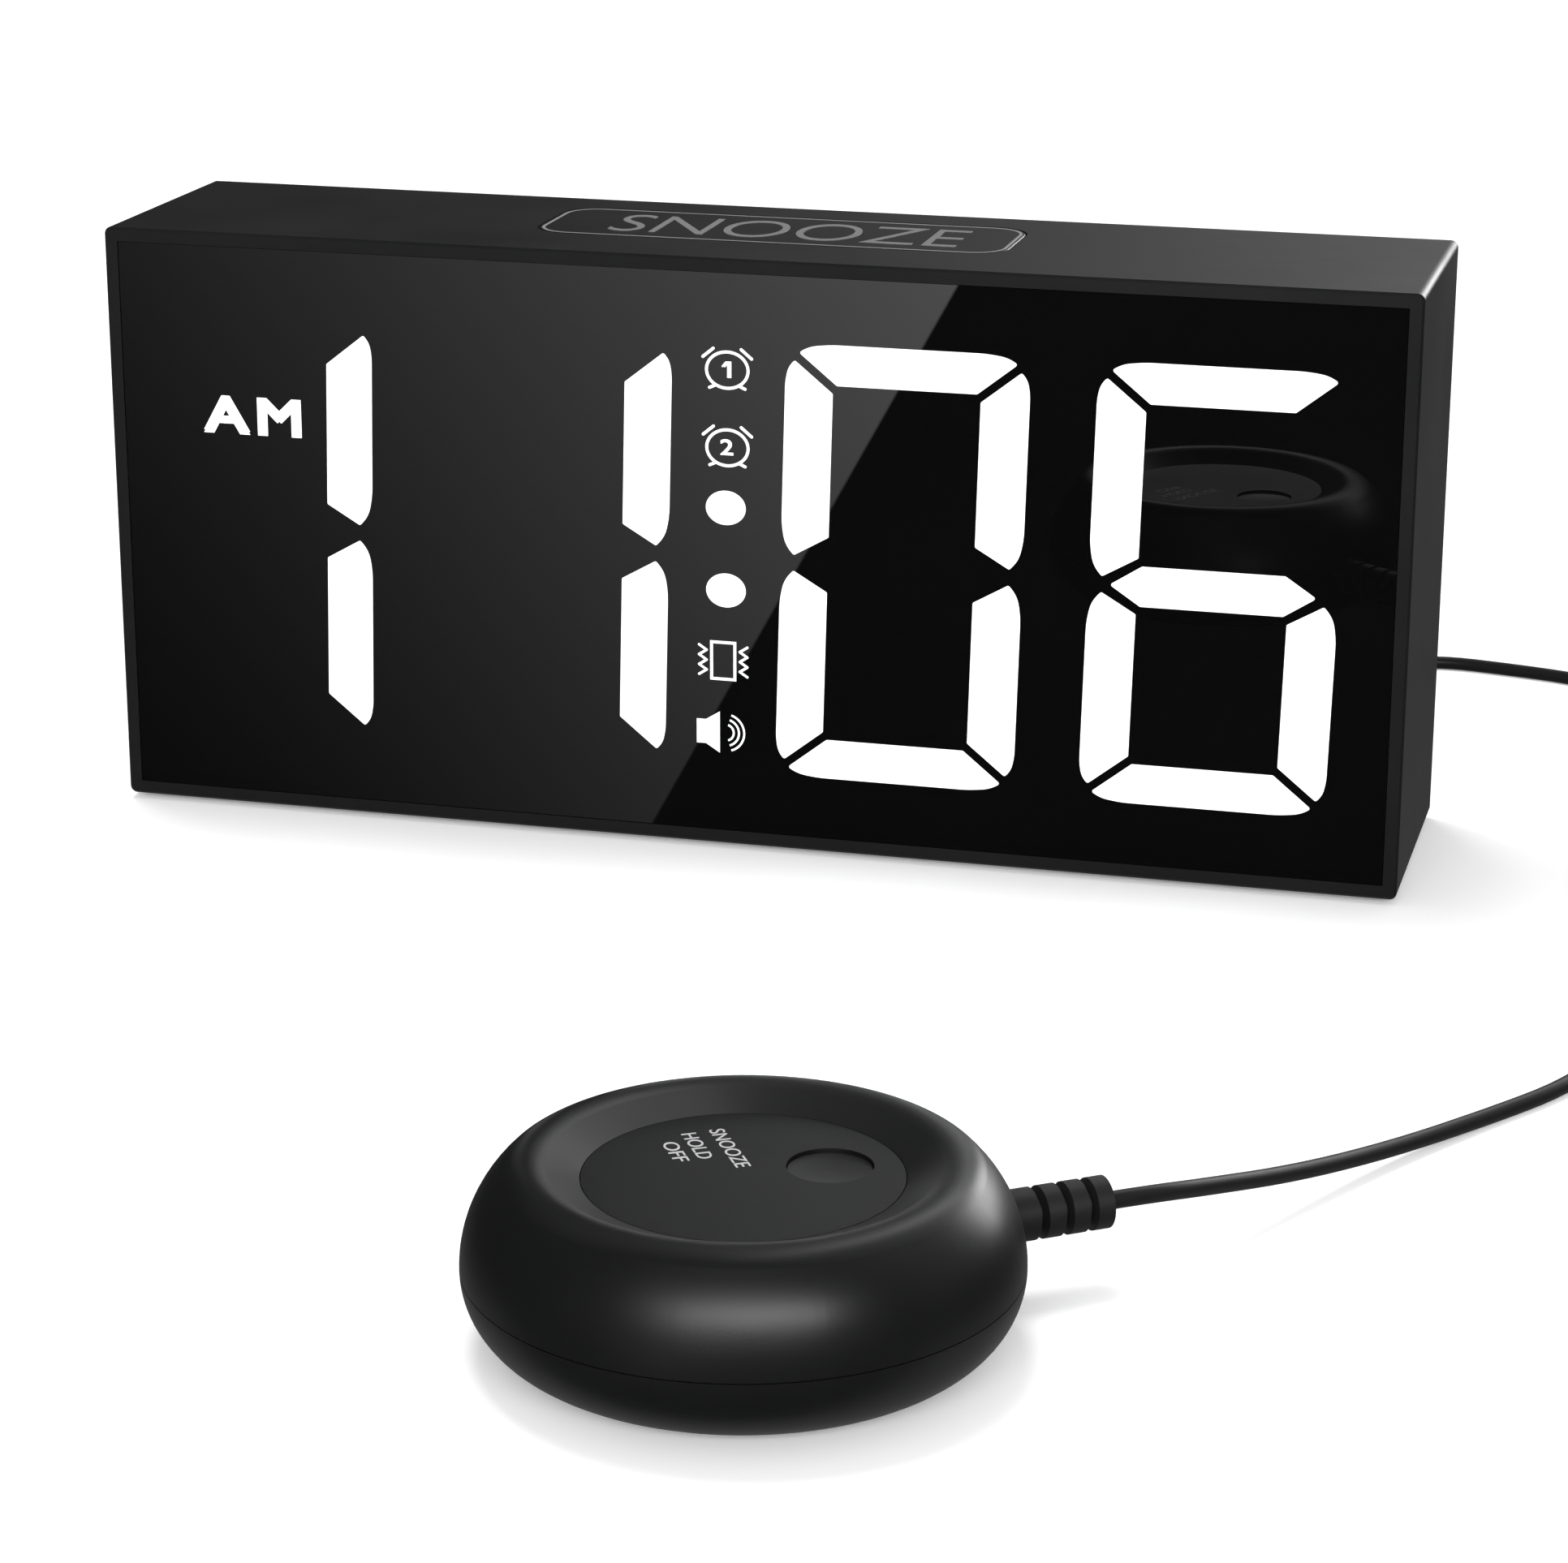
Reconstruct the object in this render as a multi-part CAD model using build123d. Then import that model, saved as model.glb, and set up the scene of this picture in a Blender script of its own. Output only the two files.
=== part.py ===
from build123d import *
import math
import os

# Bed shaker alarm clock: a mains alarm clock with a large lit display, and a
# round vibrating pad that lies under a pillow on its own lead.
# Millimetres, +Z up. The clock faces -Y, and the pad lies in front of its right
# half. The sizes and places below are taken from the point on the table under the
# middle of the clock. What is exported is moved so that its origin is on the table,
# under the middle of the clock and the pad together.

# How far a cut runs past the faces it opens, and the slack between parts
overrun = 1.0
slack = 0.1
slide_slack = 0.2

# Clock case: a sleeve with a ledge behind its front edge
case_width = 220.0
case_height = 99.2
case_depth = 48.0
case_wall = 2.3
case_corner_radius = 1.2
case_front_chamfer = 0.4
case_back_radius = 0.6
ledge_width = 3.0
ledge_depth = 1.5
post_radius = 3.4
post_inset = 3.0
cover_post_offset = 12.0
thread_slack = 0.05

# Rubber feet
foot_height = 1.0
foot_radius = 5.0
foot_seat_depth = 1.1
foot_inset_x = 16.0
foot_inset_y = 10.0

# Display panel and what stands behind it
panel_recess = 0.2
panel_thickness = 2.5
reflector_depth = 8.0
led_board_thickness = 1.6
led_board_margin = 0.8
led_width = 3.5
led_height = 2.8
led_depth = 1.9
inlay_depth = 0.4

# Seven-segment digits, as lit in the panel
digit_centre_shares = (-0.3823, -0.1468, 0.1236, 0.3564)
digit_level_share = 0.498
digit_lean_share = 0.024
digit_gap = 10.816
digit_clearance = 13.0
upright_width = 8.0
bar_height = 6.7
segment_gap = 1.3
high_tip_inset = 1.5
low_tip_inset = 2.2
corner_drop = 2.8
upright_ease_ratio = 2.75
bar_ease_length = 6.2
ease_near_shares = (0.7, 0.28)
ease_far_shares = (1.0, 0.85)
upright_near_radius_ratio = 2.4
upright_far_radius_ratio = 7.5
bar_near_radius = 6.0
bar_far_radius = 22.0
tip_radius = 0.35

# Dots and signs in the middle of the panel, heights as shares of the case's height
dot_x = -2.3
dot_level_shares = (0.583669, 0.442540)
dot_half_width = 3.4
dot_half_height = 2.9
day_half_x_share = -0.385455
day_half_z_share = 0.688508
day_half_well_radius = 6.0
sign_x = -2.0
alarm_sign_level_shares = (0.815524, 0.685484)
alarm_ring_half_width = 3.75
alarm_ring_half_height = 3.25
sign_line = 0.5
bell_inner_x = 2.35
bell_outer_x = 4.1
bell_inner_z = 3.5
bell_outer_z = 2.05
ring_foot_inner_x = 2.0
ring_foot_outer_x = 3.0
ring_foot_inner_z = 2.3
ring_foot_outer_z = 3.0
vibrate_sign_x = -2.8
vibrate_sign_level_share = 0.320565
vibrate_sign_width = 4.5
vibrate_sign_height = 6.8
zigzag_offset = 3.5
zigzag_half_width = 0.65
zigzag_height = 5.1
zigzag_line = 0.42
zigzag_teeth = 6
speaker_sign_x = -5.8
speaker_sign_level_share = 0.195565
speaker_sign_box_width = 1.6
speaker_sign_box_height = 4.2
speaker_sign_horn_length = 2.4
speaker_sign_horn_height = 7.2
speaker_sign_waves = 3
speaker_sign_first_wave = 1.4
speaker_sign_wave_step = 0.9
speaker_sign_wave_offset = 3.4
speaker_sign_line = 0.35
speaker_sign_wave_angle = 72.0
sign_well_radius = 5.6

# Rear cover, inside the back of the sleeve
cover_recess = 0.6
cover_thickness = 2.2
cover_screw_head_radius = 2.8
cover_screw_head_depth = 1.4
cover_screw_radius = 1.4
cover_screw_length = 9.0
pilot_spare = 1.0

# Inner screws: one kind for every board, bracket and clamp in the clock
inner_screw_radius = 0.9
inner_screw_length = 5.0
inner_screw_head_radius = 1.9
inner_screw_head_height = 1.3
inner_screw_socket_radius = 0.7
inner_screw_socket_depth = 0.7

# Main board, behind the rear cover's right half
main_board_left_share = -0.1
main_board_wall_gap = 8.7
main_board_bottom = 10.6
main_board_peg_gap = 0.3
main_board_thickness = 1.6
main_board_y = 8.0
main_board_corner_inset = 4.0
board_post_tray_gap = 3.2
board_post_high_share = 0.463710
board_post_radius = 2.6
chip_size = 12.0
chip_height = 1.8
chip_x_share = 0.136364
chip_z_share = 0.483871
small_chip_width = 8.0
small_chip_x_share = 0.281818
small_chip_z_share = 0.443548
capacitor_radius = 4.0
capacitor_height = 9.0
capacitor_x_share = 0.236364
capacitor_z_share = 0.302419
crystal_width = 8.0
crystal_height = 3.2
crystal_depth = 3.0
crystal_x_share = 0.136364
crystal_z_share = 0.665323

# Push buttons on the rear cover, in a row
button_names = ("time_button", "alarm_1_button", "alarm_2_button", "minus_button", "plus_button")
button_right_share = 0.390909
button_pitch_share = 0.0772727
button_drop = 22.2
button_width = 10.0
button_height = 6.5
button_corner_radius = 2.0
button_stand = 1.0
button_travel = 0.8
button_flange = 1.0
button_flange_depth = 1.0
button_stem_radius = 1.6
button_edge_radius = 0.4
switch_size = 6.0
switch_body_height = 3.5
switch_stem_radius = 1.7
switch_stem_height = 1.0
switch_gap = 0.1

# Slide switches on the rear cover
slider_mode_share = 0.363636
slider_dimmer_share = 0.227273
control_level_share = 0.553350
slider_travel = 2.5
slider_knob_width = 4.6
slider_knob_height = 4.0
slider_knob_stand = 1.2
slider_ridge = 0.5
slider_ridge_count = 3
slider_stem_width = 2.4
slider_stem_height = 1.8
slider_body_width = 13.0
slider_body_height = 6.0
slider_body_depth = 5.0
slider_slot_depth = 2.6
slider_stem_gap = 0.2

# Volume wheel, its edge through a slot in the rear cover
wheel_x_share = 0.072727
wheel_radius = 8.0
wheel_thickness = 3.0
wheel_stand = 1.5
wheel_notches = 24
wheel_notch_radius = 0.45
wheel_slot_slack = 0.4
wheel_shaft_radius = 1.5
wheel_shaft_length = 4.0
wheel_shaft_slack = 0.05
pot_width = 8.0
pot_height = 6.0
pot_gap = 0.3

# Sockets beside each other, low on the right of the rear cover
socket_z = 22.0
shaker_socket_share = 0.372727
power_socket_share = 0.281818
power_socket_width = 9.0
power_socket_height = 11.0
power_nose_radius = 4.0
power_bore_radius = 3.15
power_bore_depth = 9.5
power_pin_radius = 1.0
power_pin_recess = 4.0
shaker_socket_width = 8.0
shaker_nose_radius = 3.2
shaker_bore_radius = 1.8
shaker_bore_depth = 14.0

# Backup battery bay and its door
bay_x_share = 0.036364
bay_z = 24.0
bay_width = 54.0
bay_height = 25.0
bay_wall = 1.2
bay_depth = 12.2
door_slack = 0.25
door_thickness = 1.8
door_pin_radius = 0.7
door_pin_length = 1.6
door_pin_slack = 0.06
door_grip_width = 12.0
door_grip_height = 0.8
door_grip_depth = 0.8
cell_radius = 5.15
cell_length = 43.7
cell_nub_radius = 1.9
cell_nub_length = 0.8
cell_gap = 0.9
contact_thickness = 0.5
contact_width = 8.0
contact_boss_radius = 2.4

# Loudspeaker behind the grille
speaker_x_share = -0.309091
speaker_rise = 1.4
speaker_radius = 24.0
speaker_rim_depth = 3.4
speaker_lug_thickness = 1.4
speaker_boss_height = 1.4
speaker_rim_width = 3.0
speaker_basket_radius = 13.0
speaker_basket_depth = 9.0
speaker_wall = 0.8
speaker_magnet_radius = 14.0
speaker_magnet_depth = 7.0
cone_radius = 19.5
cone_throat_radius = 5.5
cone_depth = 6.0
cone_thickness = 0.5
cone_setback = 2.2
dust_cap_height = 1.8
grille_hole_radius = 1.1
grille_ring_pitch = 3.9
grille_rings = 5
grille_holes_per_ring = 6
speaker_screw_circle = 26.8
speaker_lug_radius = 3.2
speaker_screws = 3

# Snooze button in the top of the case
snooze_length = 80.2
snooze_width = 24.0
snooze_y = 3.0
snooze_corner_radius = 6.0
snooze_gap = 0.3
snooze_travel = 1.0
snooze_top_thickness = 1.9
snooze_skirt = 3.7
snooze_skirt_wall = 1.6
snooze_flange = 1.6
snooze_flange_height = 1.0
snooze_line_inset = 0.45
snooze_line_width = 0.55
snooze_line_depth = 0.3
snooze_peg_radius = 2.0
snooze_peg_spread = 34.0
snooze_plunger_radius = 2.5
bracket_drop = 11.0
bracket_ear_drop = 5.0
bracket_thickness = 1.6
bracket_width = 14.0
bracket_half_length = 46.0
bracket_ear_length = 9.0
bracket_boss_radius = 2.6
bracket_peg_slack = 0.2

# Shaker pad: a turned shape, heights above the table
shaker_x = 51.2
shaker_y = -208.6
shaker_equator_radius = 35.2
shaker_equator_z = 11.0
shaker_base_inset = 7.8
shaker_crest_inset = 8.0
shaker_crest_z = 25.5
shaker_wall = 2.0
shaker_seam_gap = 0.15
shaker_seam_depth = 0.5
shaker_crest_round = 5.0
upper_inner_share = 0.8
lower_inner_share = 0.8
dish_rim_width = 7.1
dish_depth = 3.2
dish_ledge_width = 2.2
dish_ledge_thickness = 1.2
disc_thickness = 1.6
disc_gap = 0.12
pad_thickness = 0.8
pad_inset = 1.0
pad_seat = 0.3
shaker_post_radius = 2.6
shaker_post_inset = 11.7
shaker_post_count = 3
shaker_post_start_angle = 60.0
shaker_post_joint_z = 6.5
shaker_screw_length = 7.0
shaker_screw_radius = 1.1
shaker_screw_head_radius = 2.2
shaker_screw_head_depth = 1.2

# Shaker button, its board and its switch
shaker_button_rim_gap = 8.9
shaker_button_angle = 31.6
shaker_button_radius = 5.3
shaker_button_gap = 0.2
shaker_button_recess = 0.45
shaker_button_dish = 0.25
shaker_button_flange = 1.2
shaker_button_flange_height = 0.8
shaker_button_travel = 0.6
shaker_board_thickness = 1.2
shaker_board_length = 24.0
shaker_board_width = 13.0
shaker_board_screw_spread = 9.0
shaker_board_post_radius = 2.4

# Vibration motor, its strap and its off-centre weight
motor_angle = 122.0
motor_shift = 9.0
motor_slide = -5.0
motor_length = 25.0
motor_width = 20.0
motor_height = 15.0
motor_shaft_radius = 1.0
motor_shaft_slack = 0.05
motor_shaft_reach = 10.5
motor_shaft_depth = 6.0
motor_nose_radius = 3.0
motor_nose_length = 1.2
weight_radius = 7.2
weight_hub_radius = 2.6
weight_length = 6.5
weight_gap = 1.2
clamp_width = 8.0
clamp_thickness = 1.2
clamp_foot = 6.0
clamp_slack = 0.1

# Ribbed strain relief on the shaker's rim
relief_angle = 36.5
relief_length = 14.4
relief_radius = 3.45
relief_root_radius = 2.05
relief_crests = 4
relief_collar_length = 4.4
relief_crest_length = 2.3
relief_neck_radius = 2.5
relief_head_radius = 3.8
relief_head_length = 1.4
relief_bore_slack = 0.1

# Cord and the plug in the clock's socket
cord_radius = 1.2
cord_lead = 6.0
bend_share = 0.45
plug_pin_radius = 1.75
plug_pin_length = 13.0
plug_ring_width = 0.8
plug_ring_depth = 0.2
plug_body_radius = 4.3
plug_body_length = 17.0
plug_gap = 0.2
plug_tail_length = 12.0
plug_tail_start_radius = 3.0
plug_tail_end_radius = 1.9
plug_grip_rings = 5
plug_grip_depth = 0.35
plug_edge_radius = 0.8

# Coil of the cord that is put away, and its tie
coil_x = 165.4
coil_y = 8.0
coil_mean_radius = 14.4
coil_turns_per_layer = 4
coil_layers = 4
coil_turn_gap = 0.5
coil_lead_straight = 9.6
layer_climb_turns = 0.5
tie_thickness = 0.5
tie_width = 6.0
tie_slack = 0.2

# Where the cord lies, by eye from the photograph: from the plug to the coil
clock_side_route = (
    (82.0, 61.0, 22.0),
    (82.2, 70.5, 19.6),
    (82.6, 81.5, 13.2),
    (83.6, 92.5, 6.0),
    (85.8, 103.5, 1.6),
    (91.5, 113.5, 1.2),
    (101.8, 117.6, 1.2),
    (114.0, 115.6, 1.2),
    (127.0, 112.6, 1.2),
    (138.5, 106.5, 1.2),
    (145.8, 94.5, 1.2),
    (147.4, 78.0, 1.2),
    (146.2, 57.0, 1.2),
    (145.3, 36.0, 1.3),
)

# From the coil to the strain relief on the shaker
shaker_side_route = (
    (145.4, -17.0, 8.8),
    (146.4, -33.0, 4.4),
    (148.0, -50.0, 1.6),
    (149.4, -67.5, 1.2),
    (148.6, -84.5, 1.2),
    (143.2, -99.4, 1.2),
    (133.6, -113.4, 1.2),
    (122.4, -130.6, 2.1),
    (111.8, -149.0, 4.9),
    (102.0, -166.0, 8.8),
)


# Places worked out from the sizes above
front_y = -case_depth / 2
back_y = case_depth / 2
case_bottom = foot_height
case_top = case_bottom + case_height
case_middle = case_bottom + case_height / 2
inner_width = case_width - 2 * case_wall
inner_height = case_height - 2 * case_wall
ceiling = case_top - case_wall
panel_front = front_y + panel_recess
panel_back = panel_front + panel_thickness
ledge_back = panel_back + ledge_depth
reflector_back = panel_back + slack + reflector_depth
led_board_back = reflector_back + led_board_thickness
cover_back = back_y - cover_recess
cover_front = cover_back - cover_thickness
post_x = inner_width / 2 - post_inset
post_z = inner_height / 2 - post_inset
cover_post_x = post_x - cover_post_offset
digit_half_width = ((digit_centre_shares[3] - digit_centre_shares[2]) * case_width - digit_gap) / 2
digit_half_height = case_height / 2 - digit_clearance
snooze_bottom = case_top - snooze_skirt
bracket_top = ceiling - bracket_drop
ear_top = ceiling - bracket_ear_drop
bracket_boss_x = bracket_half_length + bracket_ear_length / 2
peg_bottom = bracket_top - bracket_thickness - snooze_travel
button_z = case_top - button_drop
tray_top = bay_z + bay_height / 2 + bay_wall
control_z = tray_top + control_level_share * (button_z - tray_top)
slider_mode_x = slider_mode_share * case_width
slider_dimmer_x = slider_dimmer_share * case_width
wheel_x = wheel_x_share * case_width
shaker_socket_x = shaker_socket_share * case_width
power_socket_x = power_socket_share * case_width
bay_x = bay_x_share * case_width
speaker_x = speaker_x_share * case_width
speaker_z = case_middle + speaker_rise
main_board_left = main_board_left_share * case_width
main_board_right = inner_width / 2 - main_board_wall_gap
main_board_top = peg_bottom - main_board_peg_gap
shaker_crest_radius = shaker_equator_radius - shaker_crest_inset
shaker_base_radius = shaker_equator_radius - shaker_base_inset
shaker_post_circle = shaker_equator_radius - shaker_post_inset
dish_radius = shaker_crest_radius - dish_rim_width
pad_radius = shaker_base_radius - pad_inset
shaker_button_offset = dish_radius - shaker_button_rim_gap
relief_reach = shaker_equator_radius + relief_length
disc_top = shaker_crest_z - dish_depth
disc_bottom = disc_top - disc_thickness
shaker_floor = pad_thickness + shaker_wall
motor_middle = shaker_floor + motor_height / 2
button_xs = [(button_right_share - n * button_pitch_share) * case_width for n in range(len(button_names))]
coil_pitch = 2 * cord_radius + coil_turn_gap
coil_half_width = coil_turns_per_layer * coil_pitch / 2
coil_outer = coil_mean_radius + coil_half_width
coil_inner = coil_mean_radius - coil_half_width
coil_low = tie_thickness + tie_slack + cord_radius
coil_high = coil_low + (coil_layers - 1) * coil_pitch
shaker_front = shaker_y - shaker_equator_radius
wheel_back = cover_back + wheel_stand
origin_y = (shaker_front + wheel_back) / 2


# Solids from flat shapes

def slab(shape, y0, y1):
    """A shape drawn in x and z as seen from the front, from y0 back to y1."""
    plane = Plane(origin=(0, y1, 0), x_dir=(1, 0, 0), z_dir=(0, -1, 0))
    return extrude(plane * shape, amount=y1 - y0)


def plate(shape, z0, z1):
    """A shape drawn in x and y, from z0 up to z1."""
    return extrude(Plane.XY.offset(z0) * shape, amount=z1 - z0)


def block(x0, x1, y0, y1, z0, z1):
    middle = Pos((x0 + x1) / 2, (y0 + y1) / 2, (z0 + z1) / 2)
    return middle * Box(x1 - x0, y1 - y0, z1 - z0)


def rod_y(x, z, radius, y0, y1):
    return slab(Pos(x, z) * Circle(radius), y0, y1)


def rod_z(x, y, radius, z0, z1):
    return plate(Pos(x, y) * Circle(radius), z0, z1)


def turned(points):
    """A closed outline of radius and height, turned about the Z axis."""
    outline = make_face(Polyline(*points, close=True))
    return revolve(Plane.XZ * outline, Axis.Z)


def union(shapes):
    shapes = list(shapes)
    whole = shapes[0]
    for shape in shapes[1:]:
        whole = whole + shape
    return whole


def group(shapes):
    return Compound(children=[solid for shape in shapes for solid in shape.solids()])


def screw(radius, length, head_radius, head_height, socket_radius, socket_depth):
    """A pan head screw that points down, the underside of its head at the origin."""
    head = rod_z(0, 0, head_radius, 0, head_height)
    head = fillet(head.edges().sort_by(Axis.Z)[-1], head_height / 3)
    shank = rod_z(0, 0, radius, -length, 0)
    tip = chamfer(shank.edges().sort_by(Axis.Z)[0], radius / 2)
    socket = RegularPolygon(socket_radius, 6)
    return head + tip - plate(socket, head_height - socket_depth, head_height + overrun)


def inner_screw():
    return screw(inner_screw_radius, inner_screw_length, inner_screw_head_radius,
                 inner_screw_head_height, inner_screw_socket_radius, inner_screw_socket_depth)


def pointing_forward(x, y, z):
    """Turns a screw that points down to point at the front of the clock."""
    return Pos(x, y, z) * Rot(-90, 0, 0)


# Outlines of the display

def leaning(points):
    return [(x + digit_lean_share * z, z) for x, z in points]


def rounded_outline(points, radii):
    return make_face(FilletPolyline(*leaning(points), radius=radii, close=True))


def eased(tip, end, shares):
    """Two points that ease a segment's tip into the straight side that starts at end."""
    return [(tip[0] + x * (end[0] - tip[0]), tip[1] + z * (end[1] - tip[1])) for x, z in shares]


def upright(side, level):
    outer, inner = digit_half_width, digit_half_width - upright_width
    high_tip = (outer - high_tip_inset, digit_half_height - corner_drop)
    low_tip = (outer - low_tip_inset, segment_gap)
    high_end = (outer, high_tip[1] - upright_ease_ratio * high_tip_inset)
    low_end = (outer, low_tip[1] + upright_ease_ratio * low_tip_inset)
    shares = (ease_near_shares, ease_far_shares)
    points = [
        high_tip,
        (inner, digit_half_height - bar_height - segment_gap),
        (inner, bar_height / 2 + segment_gap),
        low_tip,
        *eased(low_tip, low_end, shares),
        *reversed(eased(high_tip, high_end, shares)),
    ]
    radii = [tip_radius] * 4 + [
        upright_near_radius_ratio * low_tip_inset, upright_far_radius_ratio * low_tip_inset,
        upright_far_radius_ratio * high_tip_inset, upright_near_radius_ratio * high_tip_inset]
    return rounded_outline([(side * x, level * z) for x, z in points], radii)


def end_bar(level):
    tip_x = digit_half_width - high_tip_inset - segment_gap / 2
    inner = digit_half_width - upright_width - segment_gap / 2
    tip = (tip_x, digit_half_height - corner_drop + segment_gap)
    shares = (ease_near_shares[::-1], ease_far_shares[::-1])
    right = eased(tip, (tip_x - bar_ease_length, digit_half_height), shares)
    left = [(-x, z) for x, z in right]
    inner_z = digit_half_height - bar_height
    points = [(-tip[0], tip[1]), *left, *reversed(right), tip, (inner, inner_z), (-inner, inner_z)]
    radii = [tip_radius, bar_near_radius, bar_far_radius, bar_far_radius, bar_near_radius] + [tip_radius] * 3
    return rounded_outline([(x, level * z) for x, z in points], radii)


def middle_bar():
    tip = digit_half_width - low_tip_inset - segment_gap
    shoulder = digit_half_width - upright_width - segment_gap / 2
    points = [
        (-tip, 0),
        (-shoulder, bar_height / 2),
        (shoulder, bar_height / 2),
        (tip, 0),
        (shoulder, -bar_height / 2),
        (-shoulder, -bar_height / 2),
    ]
    return rounded_outline(points, [tip_radius] * 6)


segments = {
    "top": end_bar(1),
    "upper_left": upright(-1, 1),
    "upper_right": upright(1, 1),
    "middle": middle_bar(),
    "lower_left": upright(-1, -1),
    "lower_right": upright(1, -1),
    "bottom": end_bar(-1),
}
right_uprights = ["upper_right", "lower_right"]
all_but_middle = [name for name in segments if name != "middle"]
all_but_upper_right = [name for name in segments if name != "upper_right"]

# The digits from left to right: its node, what is lit, and what it can light
digits = (
    ("hour_tens_segments", right_uprights, right_uprights),
    ("hour_units_segments", right_uprights, list(segments)),
    ("minute_tens_segments", all_but_middle, list(segments)),
    ("minute_units_segments", all_but_upper_right, list(segments)),
)


def digit_places():
    level = case_bottom + digit_level_share * case_height
    return [Pos(share * case_width, level) for share in digit_centre_shares]


def on_panel(x, level_share):
    return Pos(x, case_bottom + level_share * case_height)


def line(points, width):
    """A line of the given width through the points, with round ends and corners."""
    strokes = []
    for (x0, z0), (x1, z1) in zip(points, points[1:]):
        length = math.hypot(x1 - x0, z1 - z0)
        turn = math.degrees(math.atan2(z1 - z0, x1 - x0))
        middle = Pos((x0 + x1) / 2, (z0 + z1) / 2) * Rot(0, 0, turn)
        strokes.append(middle * SlotCenterToCenter(length, width))
    return union(strokes)


def dots():
    dot = Ellipse(dot_half_width, dot_half_height)
    return union([on_panel(dot_x, share) * dot for share in dot_level_shares])


def alarm_sign():
    """The outline of an alarm clock with two bells and two feet."""
    half_line = sign_line / 2
    ring = Ellipse(alarm_ring_half_width, alarm_ring_half_height)
    hollow = Ellipse(alarm_ring_half_width - sign_line, alarm_ring_half_height - sign_line)
    shapes = [ring - hollow]
    for side in (-1, 1):
        bell = [(side * bell_inner_x, bell_inner_z), (side * bell_outer_x, bell_outer_z)]
        foot = [(side * ring_foot_inner_x, -ring_foot_inner_z - half_line),
                (side * ring_foot_outer_x, -ring_foot_outer_z)]
        shapes += [line(bell, sign_line), line(foot, sign_line)]
    return shapes


def alarm_signs():
    shapes = []
    for share in alarm_sign_level_shares:
        ring, left_bell, left_foot, right_bell, right_foot = (
            on_panel(sign_x, share) * shape for shape in alarm_sign())
        shapes += [ring + left_foot + right_foot, left_bell, right_bell]
    return shapes


def vibrate_sign():
    """An upright box outline between two zigzags."""
    box = Rectangle(vibrate_sign_width, vibrate_sign_height)
    hollow = Rectangle(vibrate_sign_width - 2 * sign_line, vibrate_sign_height - 2 * sign_line)
    place = on_panel(vibrate_sign_x, vibrate_sign_level_share)
    shapes = [place * (box - hollow)]
    for side in (-1, 1):
        points = []
        for n in range(zigzag_teeth + 1):
            x = side * (zigzag_offset + zigzag_half_width * (-1) ** n)
            points.append((x, zigzag_height * (n / zigzag_teeth - 1 / 2)))
        shapes.append(place * line(points, zigzag_line))
    return shapes


def speaker_sign():
    """A loudspeaker with three sound waves."""
    half_box, half_horn = speaker_sign_box_height / 2, speaker_sign_horn_height / 2
    box_left = -speaker_sign_box_width
    outline = Polyline((box_left, -half_box), (0, -half_box), (speaker_sign_horn_length, -half_horn),
                       (speaker_sign_horn_length, half_horn), (0, half_box), (box_left, half_box),
                       close=True)
    shapes = [make_face(outline)]
    for n in range(speaker_sign_waves):
        radius = speaker_sign_first_wave + n * speaker_sign_wave_step
        reach = 2 * radius
        opening = make_face(Polyline(
            (0, 0),
            (reach * math.cos(math.radians(speaker_sign_wave_angle)),
             reach * math.sin(math.radians(speaker_sign_wave_angle))),
            (reach, reach),
            (reach, -reach),
            (reach * math.cos(math.radians(speaker_sign_wave_angle)),
             -reach * math.sin(math.radians(speaker_sign_wave_angle))),
            close=True))
        wave = (Circle(radius + speaker_sign_line / 2) - Circle(radius - speaker_sign_line / 2)) & opening
        shapes.append(Pos(speaker_sign_wave_offset, 0) * wave)
    return [on_panel(speaker_sign_x, speaker_sign_level_share) * shape for shape in shapes]


# Clock case and display

def housing_shell():
    middle = Pos(0, case_middle)
    outside = RectangleRounded(case_width, case_height, case_corner_radius)
    opening = Rectangle(inner_width, inner_height)
    shell = slab(middle * outside, front_y, back_y)
    shell = chamfer(shell.faces().sort_by(Axis.Y)[0].edges(), case_front_chamfer)
    shell = fillet(shell.faces().sort_by(Axis.Y)[-1].edges(), case_back_radius)
    shell -= slab(middle * opening, front_y - overrun, back_y + overrun)
    window = Rectangle(inner_width - 2 * ledge_width, inner_height - 2 * ledge_width)
    shell += slab(middle * (opening - window), panel_back, ledge_back)
    for side in (-1, 1):
        for level in (-1, 1):
            z = case_middle + level * post_z
            shell += rod_y(side * post_x, z, post_radius, panel_back, reflector_back)
            shell -= rod_y(side * post_x, z, inner_screw_radius + thread_slack,
                           led_board_back - inner_screw_length - pilot_spare, reflector_back + overrun)
            cover_post_front = led_board_back + case_wall
            shell += rod_y(side * cover_post_x, z, post_radius, cover_post_front, cover_front)
            shell -= rod_y(side * cover_post_x, z, cover_screw_radius + thread_slack,
                           cover_front - cover_screw_length, cover_front + overrun)
    shell = shell & slab(middle * outside, front_y - overrun, back_y + overrun)
    shell -= plate(Pos(0, snooze_y) * RectangleRounded(
        snooze_length + 2 * snooze_gap, snooze_width + 2 * snooze_gap, snooze_corner_radius + snooze_gap),
        ceiling - overrun, case_top + overrun)
    for side in (-1, 1):
        boss = rod_z(side * bracket_boss_x, snooze_y, bracket_boss_radius, ear_top, ceiling)
        shell += boss
        shell -= rod_z(side * bracket_boss_x, snooze_y, inner_screw_radius + thread_slack,
                       ear_top - overrun, ceiling)
    for x, y in foot_places():
        shell -= rod_z(x, y, foot_radius + slack, case_bottom - overrun, case_bottom + foot_seat_depth)
    return shell


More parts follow.
